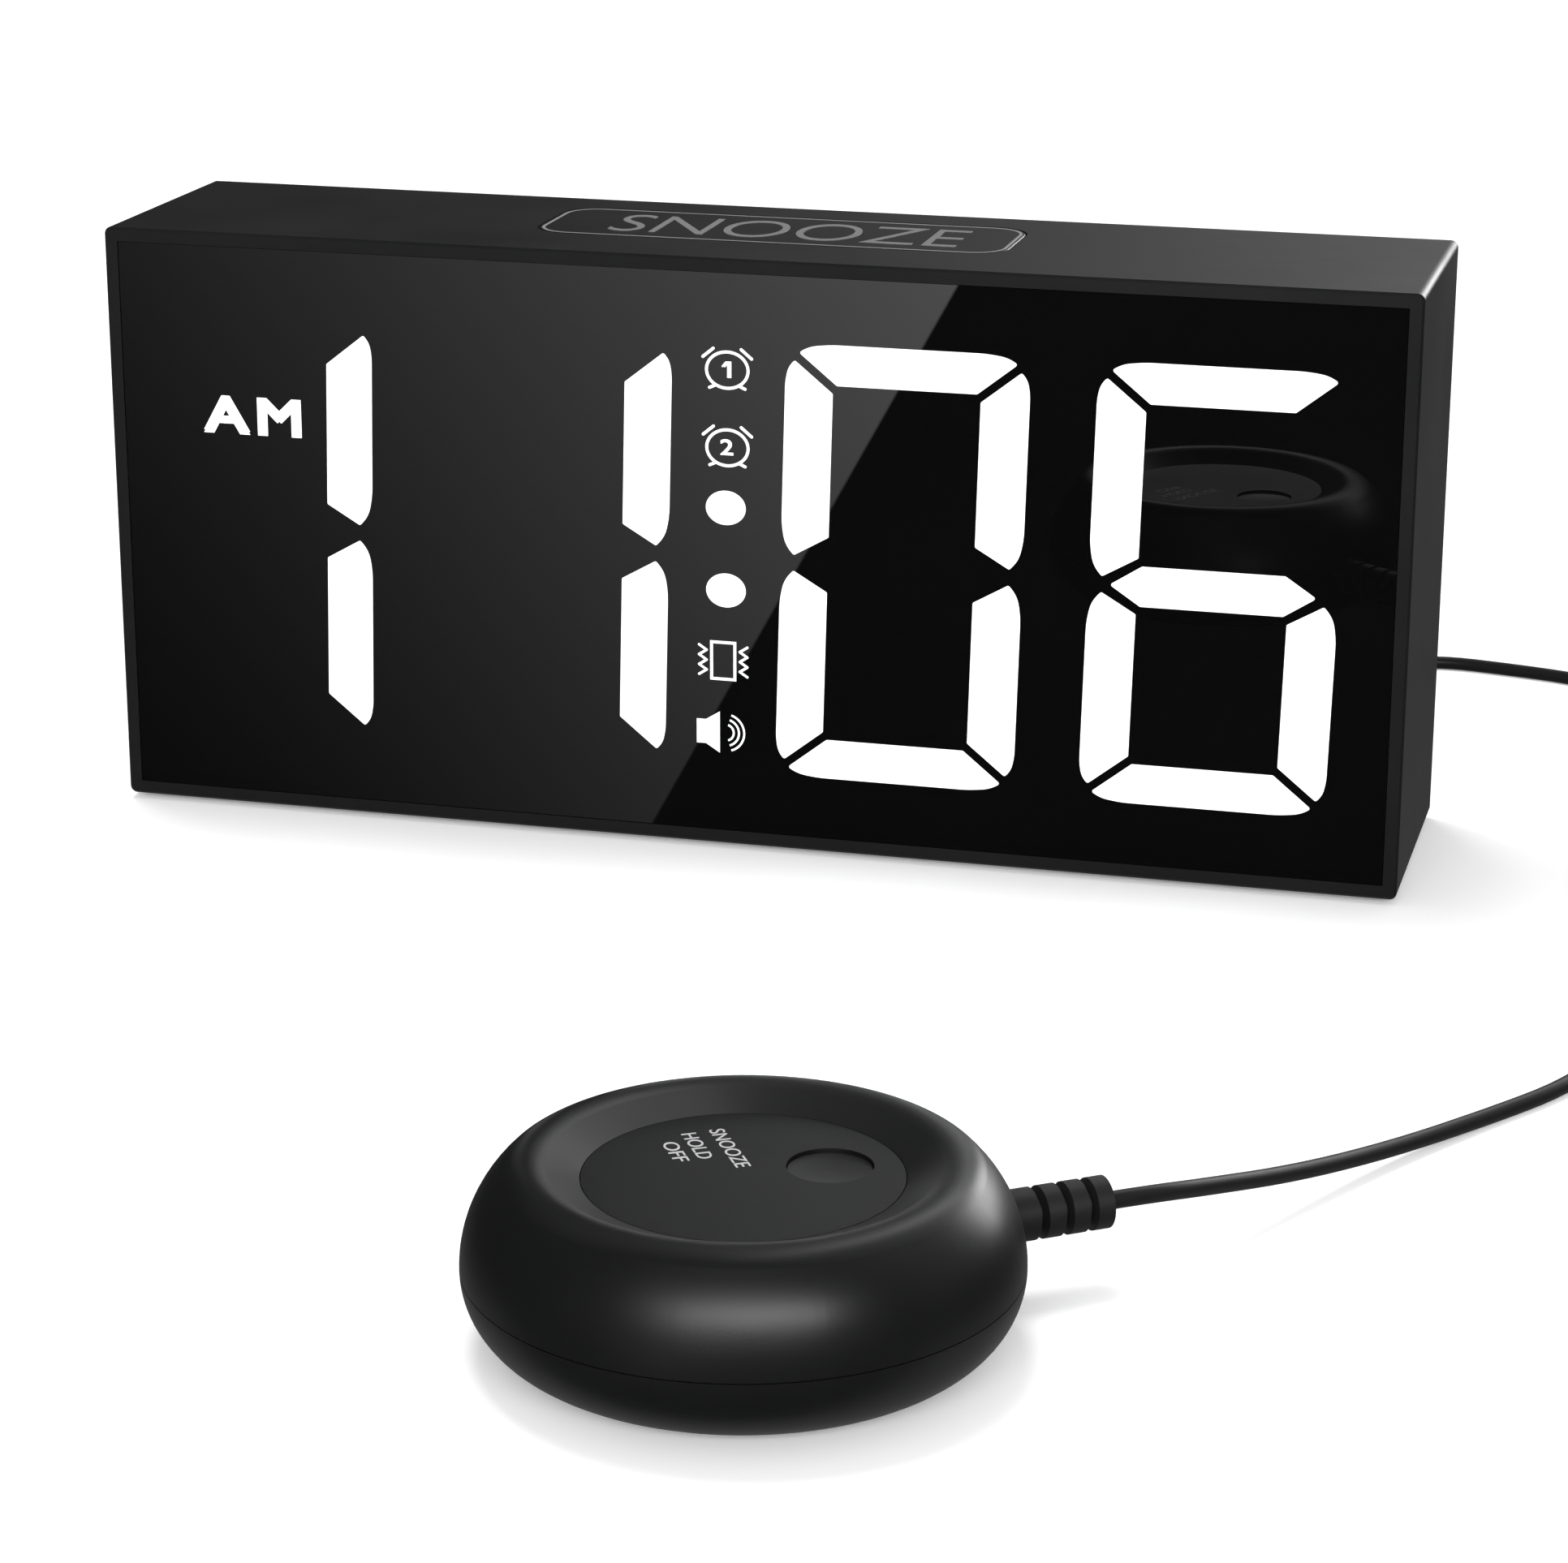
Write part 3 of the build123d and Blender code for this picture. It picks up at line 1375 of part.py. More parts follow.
def shaker_bottom_shell():
    base = (shaker_base_radius, pad_thickness)
    seam = shaker_equator_z - shaker_seam_gap / 2
    rim = (shaker_equator_radius, seam)
    inner_rim = (shaker_equator_radius - shaker_wall, seam)
    inner_base = arc_point(*base, lower_inner_share, shaker_wall)
    floor_edge = (inner_base[0], shaker_floor)
    outer = ThreePointArc(base, arc_point(*base, 1 / 2, 0), rim)
    inner = ThreePointArc(inner_rim, arc_point(*base, lower_inner_share / 2, shaker_wall), inner_base)
    under = Polyline(inner_base, floor_edge, (0, shaker_floor), (0, pad_thickness + pad_seat),
                     (pad_radius + slack, pad_thickness + pad_seat), (pad_radius + slack, pad_thickness), base)
    shell = revolve(Plane.XZ * make_face(Curve() + [outer, Line(rim, inner_rim), inner, under]), Axis.Z)
    for x, y in shaker_post_places():
        shell += rod_z(x, y, shaker_post_radius, pad_thickness + pad_seat, shaker_post_joint_z - slack)
        shell -= rod_z(x, y, shaker_screw_radius + slack, 0, shaker_post_joint_z)
        shell -= rod_z(x, y, shaker_screw_head_radius + slide_slack, 0,
                       pad_thickness + pad_seat + shaker_screw_head_depth)
    for x, y in shaker_board_screw_places():
        shell += rod_z(x, y, shaker_board_post_radius, shaker_floor - slack, shaker_board_low())
        shell -= rod_z(x, y, inner_screw_radius + thread_slack, shaker_board_low() - inner_screw_length,
                       shaker_board_low() + overrun)
    for foot in clamp_screw_places():
        shell -= motor_frame() * Pos(foot[0], foot[1]) * rod_z(
            0, 0, inner_screw_radius + thread_slack, -motor_height / 2 - shaker_wall / 2,
            -motor_height / 2 + overrun)
    shell -= relief_hole()
    shell -= relief_frame() * plate(Circle(relief_radius + relief_bore_slack), relief_start(), relief_reach)
    return about_pad(shell)


def shaker_pad():
    pad = rod_z(0, 0, pad_radius, 0, pad_thickness + pad_seat)
    return about_pad(chamfer(pad.edges().sort_by(Axis.Z)[0], pad_seat))


def shaker_button_place():
    return pad_place(shaker_button_offset, shaker_button_angle)


def shaker_disc():
    disc = rod_z(0, 0, dish_radius, disc_bottom, disc_top)
    x, y = shaker_button_place()
    disc -= rod_z(x, y, shaker_button_radius + shaker_button_gap, disc_bottom - overrun, disc_top + overrun)
    return about_pad(disc)


def shaker_button():
    x, y = shaker_button_place()
    top = disc_top - shaker_button_recess
    flange_top = disc_bottom - slack
    cap = rod_z(x, y, shaker_button_radius, flange_top - shaker_button_flange_height, top)
    ball = (shaker_button_radius ** 2 + shaker_button_dish ** 2) / (2 * shaker_button_dish)
    cap -= Pos(x, y, top + ball - shaker_button_dish) * Sphere(ball)
    cap += rod_z(x, y, shaker_button_radius + shaker_button_flange,
                 flange_top - shaker_button_flange_height, flange_top)
    stem_bottom = shaker_switch_top() + shaker_button_travel + switch_gap
    cap += rod_z(x, y, switch_stem_radius, stem_bottom, flange_top)
    return about_pad(cap)


def shaker_board_low():
    """The underside of the button's board: its switch ends a travel below the button's stem."""
    flange_bottom = disc_bottom - slack - shaker_button_flange_height
    return (flange_bottom - shaker_button_travel - 2 * switch_gap - switch_stem_height
            - switch_body_height - shaker_board_thickness)


def shaker_switch_top():
    return shaker_board_low() + shaker_board_thickness + switch_body_height + switch_stem_height


def shaker_board_frame():
    x, y = shaker_button_place()
    return Pos(x, y, 0) * Rot(0, 0, motor_angle)


def shaker_board_screw_places():
    x, y = shaker_button_place()
    dx, dy = pad_place(shaker_board_screw_spread, motor_angle)
    return [(x + side * dx, y + side * dy) for side in (-1, 1)]


def shaker_board():
    low, high = shaker_board_low(), shaker_board_low() + shaker_board_thickness
    board = shaker_board_frame() * plate(Rectangle(shaker_board_length, shaker_board_width), low, high)
    for x, y in shaker_board_screw_places():
        board -= rod_z(x, y, inner_screw_radius + slack, low - overrun, high + overrun)
    return about_pad(board)


def shaker_switch():
    x, y = shaker_button_place()
    return about_pad(Pos(x, y, shaker_board_low() + shaker_board_thickness) * tact_switch())


def shaker_motor():
    """A flat-sided can with a round nose, its shaft's bore open at the nose."""
    half = motor_length / 2
    can = Rot(0, 90, 0) * Cylinder(motor_width / 2, motor_length)
    can = can & Box(motor_length, motor_width, motor_height)
    can += Pos(half + motor_nose_length / 2, 0, 0) * Rot(0, 90, 0) * Cylinder(
        motor_nose_radius, motor_nose_length)
    bore = Cylinder(motor_shaft_radius + motor_shaft_slack, motor_shaft_depth + motor_nose_length + 2 * slack)
    bore_middle = half + motor_nose_length - (motor_shaft_depth + motor_nose_length) / 2
    can -= Pos(bore_middle, 0, 0) * Rot(0, 90, 0) * bore
    return about_pad(motor_frame() * can)


def eccentric_weight():
    """Half a disc on a hub, fixed to the motor's shaft."""
    start = motor_length / 2 + motor_nose_length + weight_gap
    shaft_start = motor_length / 2 - motor_shaft_depth + slide_slack
    shaft_end = motor_length / 2 + motor_shaft_reach
    shaft = Pos((shaft_start + shaft_end) / 2, 0, 0) * Rot(0, 90, 0) * Cylinder(
        motor_shaft_radius, shaft_end - shaft_start)
    middle = Pos(start + weight_length / 2, 0, 0)
    half_disc = Rot(0, 90, 0) * Cylinder(weight_radius, weight_length)
    half_disc = half_disc & Pos(0, 0, -weight_radius / 2) * Box(weight_length, 2 * weight_radius, weight_radius)
    hub = Rot(0, 90, 0) * Cylinder(weight_hub_radius, weight_length)
    return about_pad(motor_frame() * (shaft + middle * (half_disc + hub)))


def clamp_screw_places():
    reach = motor_width / 2 + clamp_slack + clamp_thickness + clamp_foot / 2
    return [(0, -reach), (0, reach)]


def motor_clamp():
    """A strap over the motor with a foot at each side."""
    inner_half = motor_width / 2 + clamp_slack
    outer_half = inner_half + clamp_thickness
    low, inner_top = -motor_height / 2, motor_height / 2 + clamp_slack
    half_width = clamp_width / 2
    strap = block(-half_width, half_width, -outer_half, outer_half, low, inner_top + clamp_thickness)
    strap -= block(-half_width - overrun, half_width + overrun, -inner_half, inner_half,
                   low - overrun, inner_top)
    for side in (-1, 1):
        foot_in, foot_out = side * inner_half, side * (outer_half + clamp_foot)
        strap += block(-half_width, half_width, min(foot_in, foot_out), max(foot_in, foot_out),
                       low, low + clamp_thickness)
    for x, y in clamp_screw_places():
        strap -= rod_z(x, y, inner_screw_radius + slack, low - overrun, low + clamp_thickness + overrun)
    return about_pad(motor_frame() * strap)


def shaker_inner_screws():
    """Board and clamp screws, the clamp's cut short above the base."""
    screws = []
    board_top = shaker_board_low() + shaker_board_thickness
    for x, y in shaker_board_screw_places():
        screws.append(about_pad(Pos(x, y, board_top) * inner_screw()))
    foot_top = -motor_height / 2 + clamp_thickness
    short = screw(inner_screw_radius, clamp_thickness + shaker_wall / 3, inner_screw_head_radius,
                  inner_screw_head_height, inner_screw_socket_radius, inner_screw_socket_depth)
    for x, y in clamp_screw_places():
        screws.append(about_pad(motor_frame() * Pos(x, y, foot_top) * short))
    return group(screws)


def shaker_case_screws():
    seat = pad_thickness + pad_seat + shaker_screw_head_depth
    one = screw(shaker_screw_radius, shaker_screw_length, shaker_screw_head_radius,
                shaker_screw_head_depth, inner_screw_socket_radius * 2, inner_screw_socket_depth)
    return group(about_pad(Pos(x, y, seat) * Rot(180, 0, 0) * one) for x, y in shaker_post_places())


def strain_relief():
    """Ribs outside the rim, a neck through it, and a head that holds it inside."""
    start = relief_start() + slack
    neck_start = shaker_equator_radius - shaker_wall - relief_head_length - 2 * shaker_seam_depth
    head_end = neck_start + relief_head_length
    crest_space = relief_reach - start - relief_collar_length
    pitch = crest_space / (relief_crests - 1)
    groove = pitch - relief_crest_length
    points = [(0, neck_start), (relief_head_radius, neck_start), (relief_head_radius, head_end),
              (relief_neck_radius, head_end), (relief_neck_radius, start), (relief_radius, start),
              (relief_radius, start + relief_collar_length)]
    for n in range(relief_crests - 1):
        at = start + relief_collar_length + n * pitch
        points += [(relief_root_radius, at + groove / 2), (relief_root_radius, at + groove * 2 / 3),
                   (relief_radius, at + groove), (relief_radius, at + pitch)]
    points += [(0, relief_reach)]
    return about_pad(relief_frame() * turned(points))


# Cord

def relief_exit():
    x, y = pad_place(relief_reach, relief_angle)
    return (shaker_x + x, shaker_y + y, shaker_equator_z)


def relief_lead():
    """The first point of the cord after the strain relief, straight out of it."""
    x, y = pad_place(relief_reach + cord_lead, relief_angle)
    return (shaker_x + x, shaker_y + y, shaker_equator_z)


def turn_at(before, point, after):
    into, out = Vector(*point) - Vector(*before), Vector(*after) - Vector(*point)
    return math.radians(into.get_angle(out))


def bend_radii(route):
    """Each corner's arc, as large as its two runs allow."""
    radii = []
    for before, point, after in zip(route, route[1:], route[2:]):
        shorter = min((Vector(*point) - Vector(*before)).length, (Vector(*after) - Vector(*point)).length)
        radii.append(bend_share * shorter / math.tan(turn_at(before, point, after) / 2))
    return radii


def cord_tube(route, name):
    radii = bend_radii(route)
    path = FilletPolyline(*route, radius=radii)
    start = Plane(origin=path @ 0, z_dir=path % 0)
    tube = sweep(start * Circle(cord_radius), path=path)
    share = tube.volume / (math.pi * cord_radius ** 2 * path.length)
    print(name, "length", round(path.length, 1), "tightest bend", round(min(radii), 1),
          "radii", [round(radius) for radius in radii], "volume share", round(share, 4))
    return tube, path.length


def coil_state(turns):
    """Where the coil's centre line is after so many turns, and its height."""
    layer_turns = coil_turns_per_layer
    phase = turns % (2 * layer_turns)
    wound_in = phase if phase <= layer_turns else 2 * layer_turns - phase
    radius = coil_outer - wound_in * coil_pitch
    height = coil_low
    for change in range(1, coil_layers):
        climbed = (turns - change * layer_turns) / layer_climb_turns + 1 / 2
        height += coil_pitch * min(max(climbed, 0), 1)
    angle = math.pi + 2 * math.pi * turns
    return radius, height, angle


def coil_point(turns):
    radius, height, angle = coil_state(turns)
    return Vector(coil_x + radius * math.cos(angle), coil_y + radius * math.sin(angle), height)


def coil_direction(turns):
    angle = coil_state(turns)[2]
    return Vector(-math.sin(angle), math.cos(angle), 0)


def two_arcs(start, start_way, end, end_way):
    """Two arcs that leave and arrive in the given directions and join smoothly."""
    span = end - start
    ways = start_way + end_way
    a = 2 * (1 - start_way.dot(end_way))
    b = 2 * span.dot(ways)
    c = -span.dot(span)
    reach = (-b + math.sqrt(b * b - 4 * a * c)) / (2 * a)
    corner_a, corner_b = start + start_way * reach, end - end_way * reach
    joint = (corner_a + corner_b) * 0.5
    way = (corner_b - corner_a).normalized()
    return [TangentArc(start, joint, tangent=start_way), TangentArc(joint, end, tangent=way)]


def coil_turn_count():
    return coil_turns_per_layer * coil_layers


def coil_path():
    """The whole coil as arcs of less than half a turn, with a straight lead at each end."""
    total = coil_turn_count()
    lead = 2 * cord_radius
    first, last = coil_point(0), coil_point(total)
    way_in, way_out = coil_direction(0), coil_direction(total)
    pieces = [Line(first - way_in * lead, first)]
    quarters = 4 * total
    for n in range(quarters):
        a, b = n / 4, (n + 1) / 4
        pieces += two_arcs(coil_point(a), coil_direction(a), coil_point(b), coil_direction(b))
    pieces.append(Line(last, last + way_out * lead))
    return Wire([piece.edge() for piece in pieces])


def coil_approach():
    """Straight points in line with the coil's first lead, outermost first."""
    first, way = coil_point(0), coil_direction(0)
    lead = 2 * cord_radius
    return [tuple(first - way * (lead + coil_lead_straight)), tuple(first - way * lead)]


def coil_departure():
    """Straight points in line with the coil's last lead, the coil's end first."""
    total = coil_turn_count()
    last, way = coil_point(total), coil_direction(total)
    lead = 2 * cord_radius
    return [tuple(last + way * lead), tuple(last + way * (lead + coil_lead_straight))]


def coil_gap():
    """The least distance between turns, less the cord's diameter, on points."""
    steps = 48
    points = [coil_point(n / steps) for n in range(steps * coil_turn_count() + 1)]
    least = coil_outer
    for i in range(0, len(points)):
        for j in range(i + steps // 2, len(points)):
            least = min(least, (points[i] - points[j]).length)
    return least - 2 * cord_radius


def cord_coil():
    path = coil_path()
    start = Plane(origin=path @ 0, z_dir=path % 0)
    coil = sweep(start * Circle(cord_radius), path=path)
    share = coil.volume / (math.pi * cord_radius ** 2 * path.length)
    print("coil length", round(path.length, 1), "gap to itself", round(coil_gap(), 3),
          "inner radius", round(coil_inner, 1), "volume share", round(share, 4))
    return coil, path.length


def cord_tie():
    """A strap round the coil's turns on the side away from the cord's ends."""
    half = tie_width / 2
    bundle_in = math.sqrt((coil_inner - cord_radius) ** 2 - half ** 2) - tie_slack
    bundle_out = coil_outer + cord_radius + tie_slack
    low, high = coil_low - cord_radius - tie_slack, coil_high + cord_radius + tie_slack
    outer = block(coil_x + bundle_in - tie_thickness, coil_x + bundle_out + tie_thickness,
                  coil_y - half, coil_y + half, low - tie_thickness, high + tie_thickness)
    outer = fillet(outer.edges().filter_by(Axis.Y), cord_radius / 2)
    return outer - block(coil_x + bundle_in, coil_x + bundle_out, coil_y - half - overrun,
                         coil_y + half + overrun, low, high)


def cord_plug():
    """A pin in the clock's socket, a moulded body and a tapered tail."""
    body_start = plug_gap
    body_end = body_start + plug_body_length
    grip_pitch = plug_body_length / (2 * plug_grip_rings)
    points = [(0, -plug_pin_length), (plug_pin_radius - plug_ring_depth, -plug_pin_length),
              (plug_pin_radius, -plug_pin_length + 2 * plug_ring_depth)]
    for ring in (plug_pin_length * 2 / 3, plug_pin_length / 3):
        points += [(plug_pin_radius, -ring), (plug_pin_radius - plug_ring_depth, -ring),
                   (plug_pin_radius - plug_ring_depth, -ring + plug_ring_width),
                   (plug_pin_radius, -ring + plug_ring_width)]
    points += [(plug_pin_radius, body_start), (plug_body_radius - plug_edge_radius, body_start),
               (plug_body_radius, body_start + plug_edge_radius)]
    for n in range(plug_grip_rings):
        at = body_start + plug_body_length / 4 + n * grip_pitch
        points += [(plug_body_radius, at), (plug_body_radius - plug_grip_depth, at + grip_pitch / 4),
                   (plug_body_radius - plug_grip_depth, at + grip_pitch / 2),
                   (plug_body_radius, at + grip_pitch * 3 / 4)]
    points += [(plug_body_radius, body_end - plug_edge_radius), (plug_body_radius - plug_edge_radius, body_end),
               (plug_tail_start_radius, body_end), (plug_tail_end_radius, body_end + plug_tail_length),
               (0, body_end + plug_tail_length)]
    return Pos(shaker_socket_x, cover_back, socket_z) * Rot(-90, 0, 0) * turned(points)


def plug_exit():
    return (shaker_socket_x, cover_back + plug_gap + plug_body_length + plug_tail_length, socket_z)


def build():
    parts = {
        "housing_shell": housing_shell(),
        "rubber_feet": rubber_feet(),
        "display_panel": display_panel(),
        "reflector_block": reflector_block(),
        "led_board": led_board(),
        "leds": leds(),
        "snooze_button": snooze_button(),
        "snooze_line": snooze_line(),
        "snooze_bracket": snooze_bracket(),
        "tact_switches": tact_switches(),
        "rear_cover": rear_cover(),
        "case_screws": case_screws(),
        "inner_screws": inner_screws(),
        "main_board": main_board(),
        "board_parts": board_parts(),
        "mode_slider": slider_knob(slider_mode_x),
        "dimmer_slider": slider_knob(slider_dimmer_x),
        "slide_switch_bodies": group([slider_body(slider_mode_x), slider_body(slider_dimmer_x)]),
        "volume_wheel": volume_wheel(),
        "volume_control": volume_control(),
        "power_socket": power_socket(),
        "shaker_socket": shaker_socket(),
        "battery_tray": battery_tray(),
        "battery_cells": battery_cells(),
        "battery_contacts": battery_contacts(),
        "battery_door": battery_door(),
        "speaker_frame": speaker_frame(),
        "speaker_magnet": speaker_magnet(),
        "speaker_cone": speaker_cone(),
        "speaker_screws": speaker_screws_group(),
        "shaker_top_shell": shaker_top_shell(),
        "shaker_bottom_shell": shaker_bottom_shell(),
        "shaker_base_pad": shaker_pad(),
        "shaker_disc": shaker_disc(),
        "shaker_button": shaker_button(),
        "shaker_board": shaker_board(),
        "shaker_switch": shaker_switch(),
        "shaker_motor": shaker_motor(),
        "eccentric_weight": eccentric_weight(),
        "motor_clamp": motor_clamp(),
        "shaker_inner_screws": shaker_inner_screws(),
        "shaker_case_screws": shaker_case_screws(),
        "strain_relief": strain_relief(),
        "cord_plug": cord_plug(),
        "cord_tie": cord_tie(),
    }
    for name, x in zip(button_names, button_xs):
        parts[name] = rear_button(x)
    for name, shapes in lit_shapes().items():
        parts[name] = light_guides(shapes)
    for name, shapes in inlay_shapes().items():
        parts[name] = inlays(shapes)
    clock_side = [plug_exit(), *clock_side_route, *coil_approach()]
    shaker_side = [*coil_departure(), *shaker_side_route, relief_lead(), relief_exit()]
    parts["cord_clock_side"], first = cord_tube(clock_side, "clock side")
    parts["cord_shaker_side"], last = cord_tube(shaker_side, "shaker side")
    parts["cord_coil"], wound = cord_coil()
    print("whole cord", round(first + wound + last, 1))
    return parts


os.makedirs("parts", exist_ok=True)
for node, shape in build().items():
    export_step(Pos(0, -origin_y, 0) * shape, f"parts/{node}.step")
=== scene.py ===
import math

import bmesh
import bpy
from mathutils import Matrix, Vector


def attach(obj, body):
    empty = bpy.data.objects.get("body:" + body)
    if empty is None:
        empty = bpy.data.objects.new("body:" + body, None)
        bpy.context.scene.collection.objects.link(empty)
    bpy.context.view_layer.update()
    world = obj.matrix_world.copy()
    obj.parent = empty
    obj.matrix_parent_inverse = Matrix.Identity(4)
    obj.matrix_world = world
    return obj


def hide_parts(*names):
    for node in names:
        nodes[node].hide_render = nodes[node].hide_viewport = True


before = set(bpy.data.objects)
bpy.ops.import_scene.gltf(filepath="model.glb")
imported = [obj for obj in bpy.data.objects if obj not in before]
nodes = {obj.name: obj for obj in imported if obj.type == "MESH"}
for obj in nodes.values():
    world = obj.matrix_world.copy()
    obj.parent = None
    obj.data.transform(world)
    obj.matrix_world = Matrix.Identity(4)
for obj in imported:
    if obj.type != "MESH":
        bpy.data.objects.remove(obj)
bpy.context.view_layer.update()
mm = 0.001


# The camera.
# It stands to the right of the clock's front and a little above it, with a long
# lens, so that the upright edges lean only slightly.
camera_place = Vector((0.1785, -0.56405, 0.2272))
camera_azimuth, camera_elevation, camera_roll = (math.radians(a) for a in (14.732, 17.711, 0.120))
ahead = Vector((-math.sin(camera_azimuth) * math.cos(camera_elevation),
                math.cos(camera_azimuth) * math.cos(camera_elevation),
                -math.sin(camera_elevation)))
level_right = Vector((math.cos(camera_azimuth), math.sin(camera_azimuth), 0))
turned_right = Matrix.Rotation(-camera_roll, 3, ahead) @ level_right
camera_axes = Matrix((turned_right, turned_right.cross(ahead), -ahead)).transposed()
camera_data = bpy.data.cameras.new("camera")
camera_data.sensor_fit, camera_data.sensor_width, camera_data.lens = "HORIZONTAL", 36.0, 97.17
camera_data.clip_start, camera_data.clip_end = 0.01, 40.0
camera = bpy.data.objects.new("camera", camera_data)
camera.matrix_world = Matrix.Translation(camera_place) @ camera_axes.to_4x4()
bpy.context.scene.collection.objects.link(camera)
bpy.context.scene.camera = camera


# The cord.
# A thin round lead with a soft black jacket. It leaves the pad's strain relief,
# lies in a loose curve to the right, is wound and tied where it is put away, and
# comes back behind the clock to its plug.
cord_radius = 1.2 * mm
origin_shift = 109.45
relief_angle, relief_reach, relief_lead = math.radians(36.5), 49.6, 6.0
pad_middle = Vector((51.2, -208.6, 11.0))
coil_middle_x, coil_middle_y, coil_mean_radius = 165.4, 8.0, 14.4
coil_turns_per_layer, coil_layers, coil_pitch = 4, 4, 2.9
coil_outer = coil_mean_radius + coil_turns_per_layer * coil_pitch / 2
coil_low = 1.9
points_per_turn = 16
# A spline of this order runs inside a ring of control points by this share
ring_share = 3 / 4 + math.cos(2 * math.pi / points_per_turn) / 4


def coil_point(turns):
    """The centre line of the winding after so many turns: in and out, four layers."""
    per_layer = coil_turns_per_layer
    phase = turns % (2 * per_layer)
    wound_in = phase if phase <= per_layer else 2 * per_layer - phase
    radius = (coil_outer - wound_in * coil_pitch) / ring_share
    height = coil_low
    for change in range(1, coil_layers):
        climbed = 2 * (turns - change * per_layer) + 1 / 2
        height += coil_pitch * min(max(climbed, 0), 1)
    angle = math.pi + 2 * math.pi * turns
    return (coil_middle_x + radius * math.cos(angle), coil_middle_y + radius * math.sin(angle), height)


relief_way = Vector((math.cos(relief_angle), math.sin(relief_angle), 0))
cord_exit = pad_middle + relief_way * relief_reach
from_pad = [
    cord_exit, cord_exit + relief_way * relief_lead,
    (102.0, -166.0, 8.8), (111.8, -149.0, 4.9), (122.4, -130.6, 2.1), (133.6, -113.4, 1.2),
    (143.2, -99.4, 1.2), (148.6, -84.5, 1.2), (149.4, -67.5, 1.2), (148.0, -50.0, 1.6),
    (146.4, -33.0, 4.4), (145.4, -17.0, 8.8), (145.2, -4.0, 10.6), (145.2, 5.6, 10.6),
]
turn_count = coil_turns_per_layer * coil_layers
wound = [coil_point(turn_count - n / points_per_turn) for n in range(turn_count * points_per_turn + 1)]
to_clock = [
    (145.2, 10.4, 1.9), (145.2, 20.0, 1.9),
    (145.3, 36.0, 1.3), (146.2, 57.0, 1.2), (147.4, 78.0, 1.2), (145.8, 94.5, 1.2),
    (138.5, 106.5, 1.2), (127.0, 112.6, 1.2), (114.0, 115.6, 1.2), (101.8, 117.6, 1.2),
    (91.5, 113.5, 1.2), (85.8, 103.5, 1.6), (83.6, 92.5, 6.0), (82.6, 81.5, 13.2),
    (82.2, 70.5, 19.6), (82.0, 61.0, 22.0), (82.0, 52.6, 22.0),
]
cord_points = [Vector(p) + Vector((0, origin_shift, 0)) for p in from_pad + wound + to_clock]
cord_curve = bpy.data.curves.new("cord", "CURVE")
cord_curve.dimensions = "3D"
# The thickness is given at the points, so that the curve's own box fits the cord
cord_curve.bevel_depth, cord_curve.bevel_resolution = 1.0, 4
cord_curve.resolution_u, cord_curve.use_fill_caps = 5, True
cord_line = cord_curve.splines.new("NURBS")
cord_line.points.add(len(cord_points) - 1)
for spline_point, p in zip(cord_line.points, cord_points):
    spline_point.co = (*(p * mm), 1)
    spline_point.radius = cord_radius
cord_line.order_u = 3
cord_line.use_endpoint_u = True
cord = bpy.data.objects.new("cord", cord_curve)
bpy.context.scene.collection.objects.link(cord)
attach(cord, "clock_and_pad")
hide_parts("cord_clock_side", "cord_coil", "cord_shaker_side")


# The floor and the light.
# A white sheet and soft lamps, as for a picture in a shop: one lamp above for
# the shadows, one behind the camera for the pad, and one behind on the right
# that lights nothing but gloss, seen most in the case's top and edges.
floor_mesh = bpy.data.meshes.new("floor")
sheet = bmesh.new()
bmesh.ops.create_grid(sheet, x_segments=1, y_segments=1, size=6.0)
sheet.to_mesh(floor_mesh)
sheet.free()
floor = bpy.data.objects.new("floor", floor_mesh)
bpy.context.scene.collection.objects.link(floor)
floor.visible_glossy = False


def new_material(name):
    material = bpy.data.materials.new(name)
    material.use_nodes = True
    tree = material.node_tree
    return material, tree, tree.nodes["Principled BSDF"]


def math_node(tree, operation, a, b=0.0):
    node = tree.nodes.new("ShaderNodeMath")
    node.operation = operation
    for socket, value in zip(node.inputs, (a, b)):
        if isinstance(value, bpy.types.NodeSocket):
            tree.links.new(value, socket)
        else:
            socket.default_value = value
    return node.outputs[0]


def ramp_node(tree, value, start, end, from_value, to_value):
    node = tree.nodes.new("ShaderNodeMapRange")
    tree.links.new(value, node.inputs["Value"])
    for name, number in zip(("From Min", "From Max", "To Min", "To Max"), (start, end, from_value, to_value)):
        node.inputs[name].default_value = number
    return node.outputs[0]


floor_paint, tree, shader = new_material("floor_sheet")
shader.inputs["Base Color"].default_value = (0.93, 0.93, 0.93, 1)
shader.inputs["Roughness"].default_value = 0.9
shader.inputs["Specular IOR Level"].default_value = 0.0
seen = tree.nodes.new("ShaderNodeLightPath")
glow = tree.nodes.new("ShaderNodeEmission")
glow.inputs["Color"].default_value = (1, 1, 1, 1)
both = tree.nodes.new("ShaderNodeAddShader")
tree.links.new(math_node(tree, "MULTIPLY", seen.outputs["Is Camera Ray"], 0.22), glow.inputs["Strength"])
tree.links.new(shader.outputs[0], both.inputs[0])
tree.links.new(glow.outputs[0], both.inputs[1])
tree.links.new(both.outputs[0], tree.nodes["Material Output"].inputs["Surface"])
floor_mesh.materials.append(floor_paint)

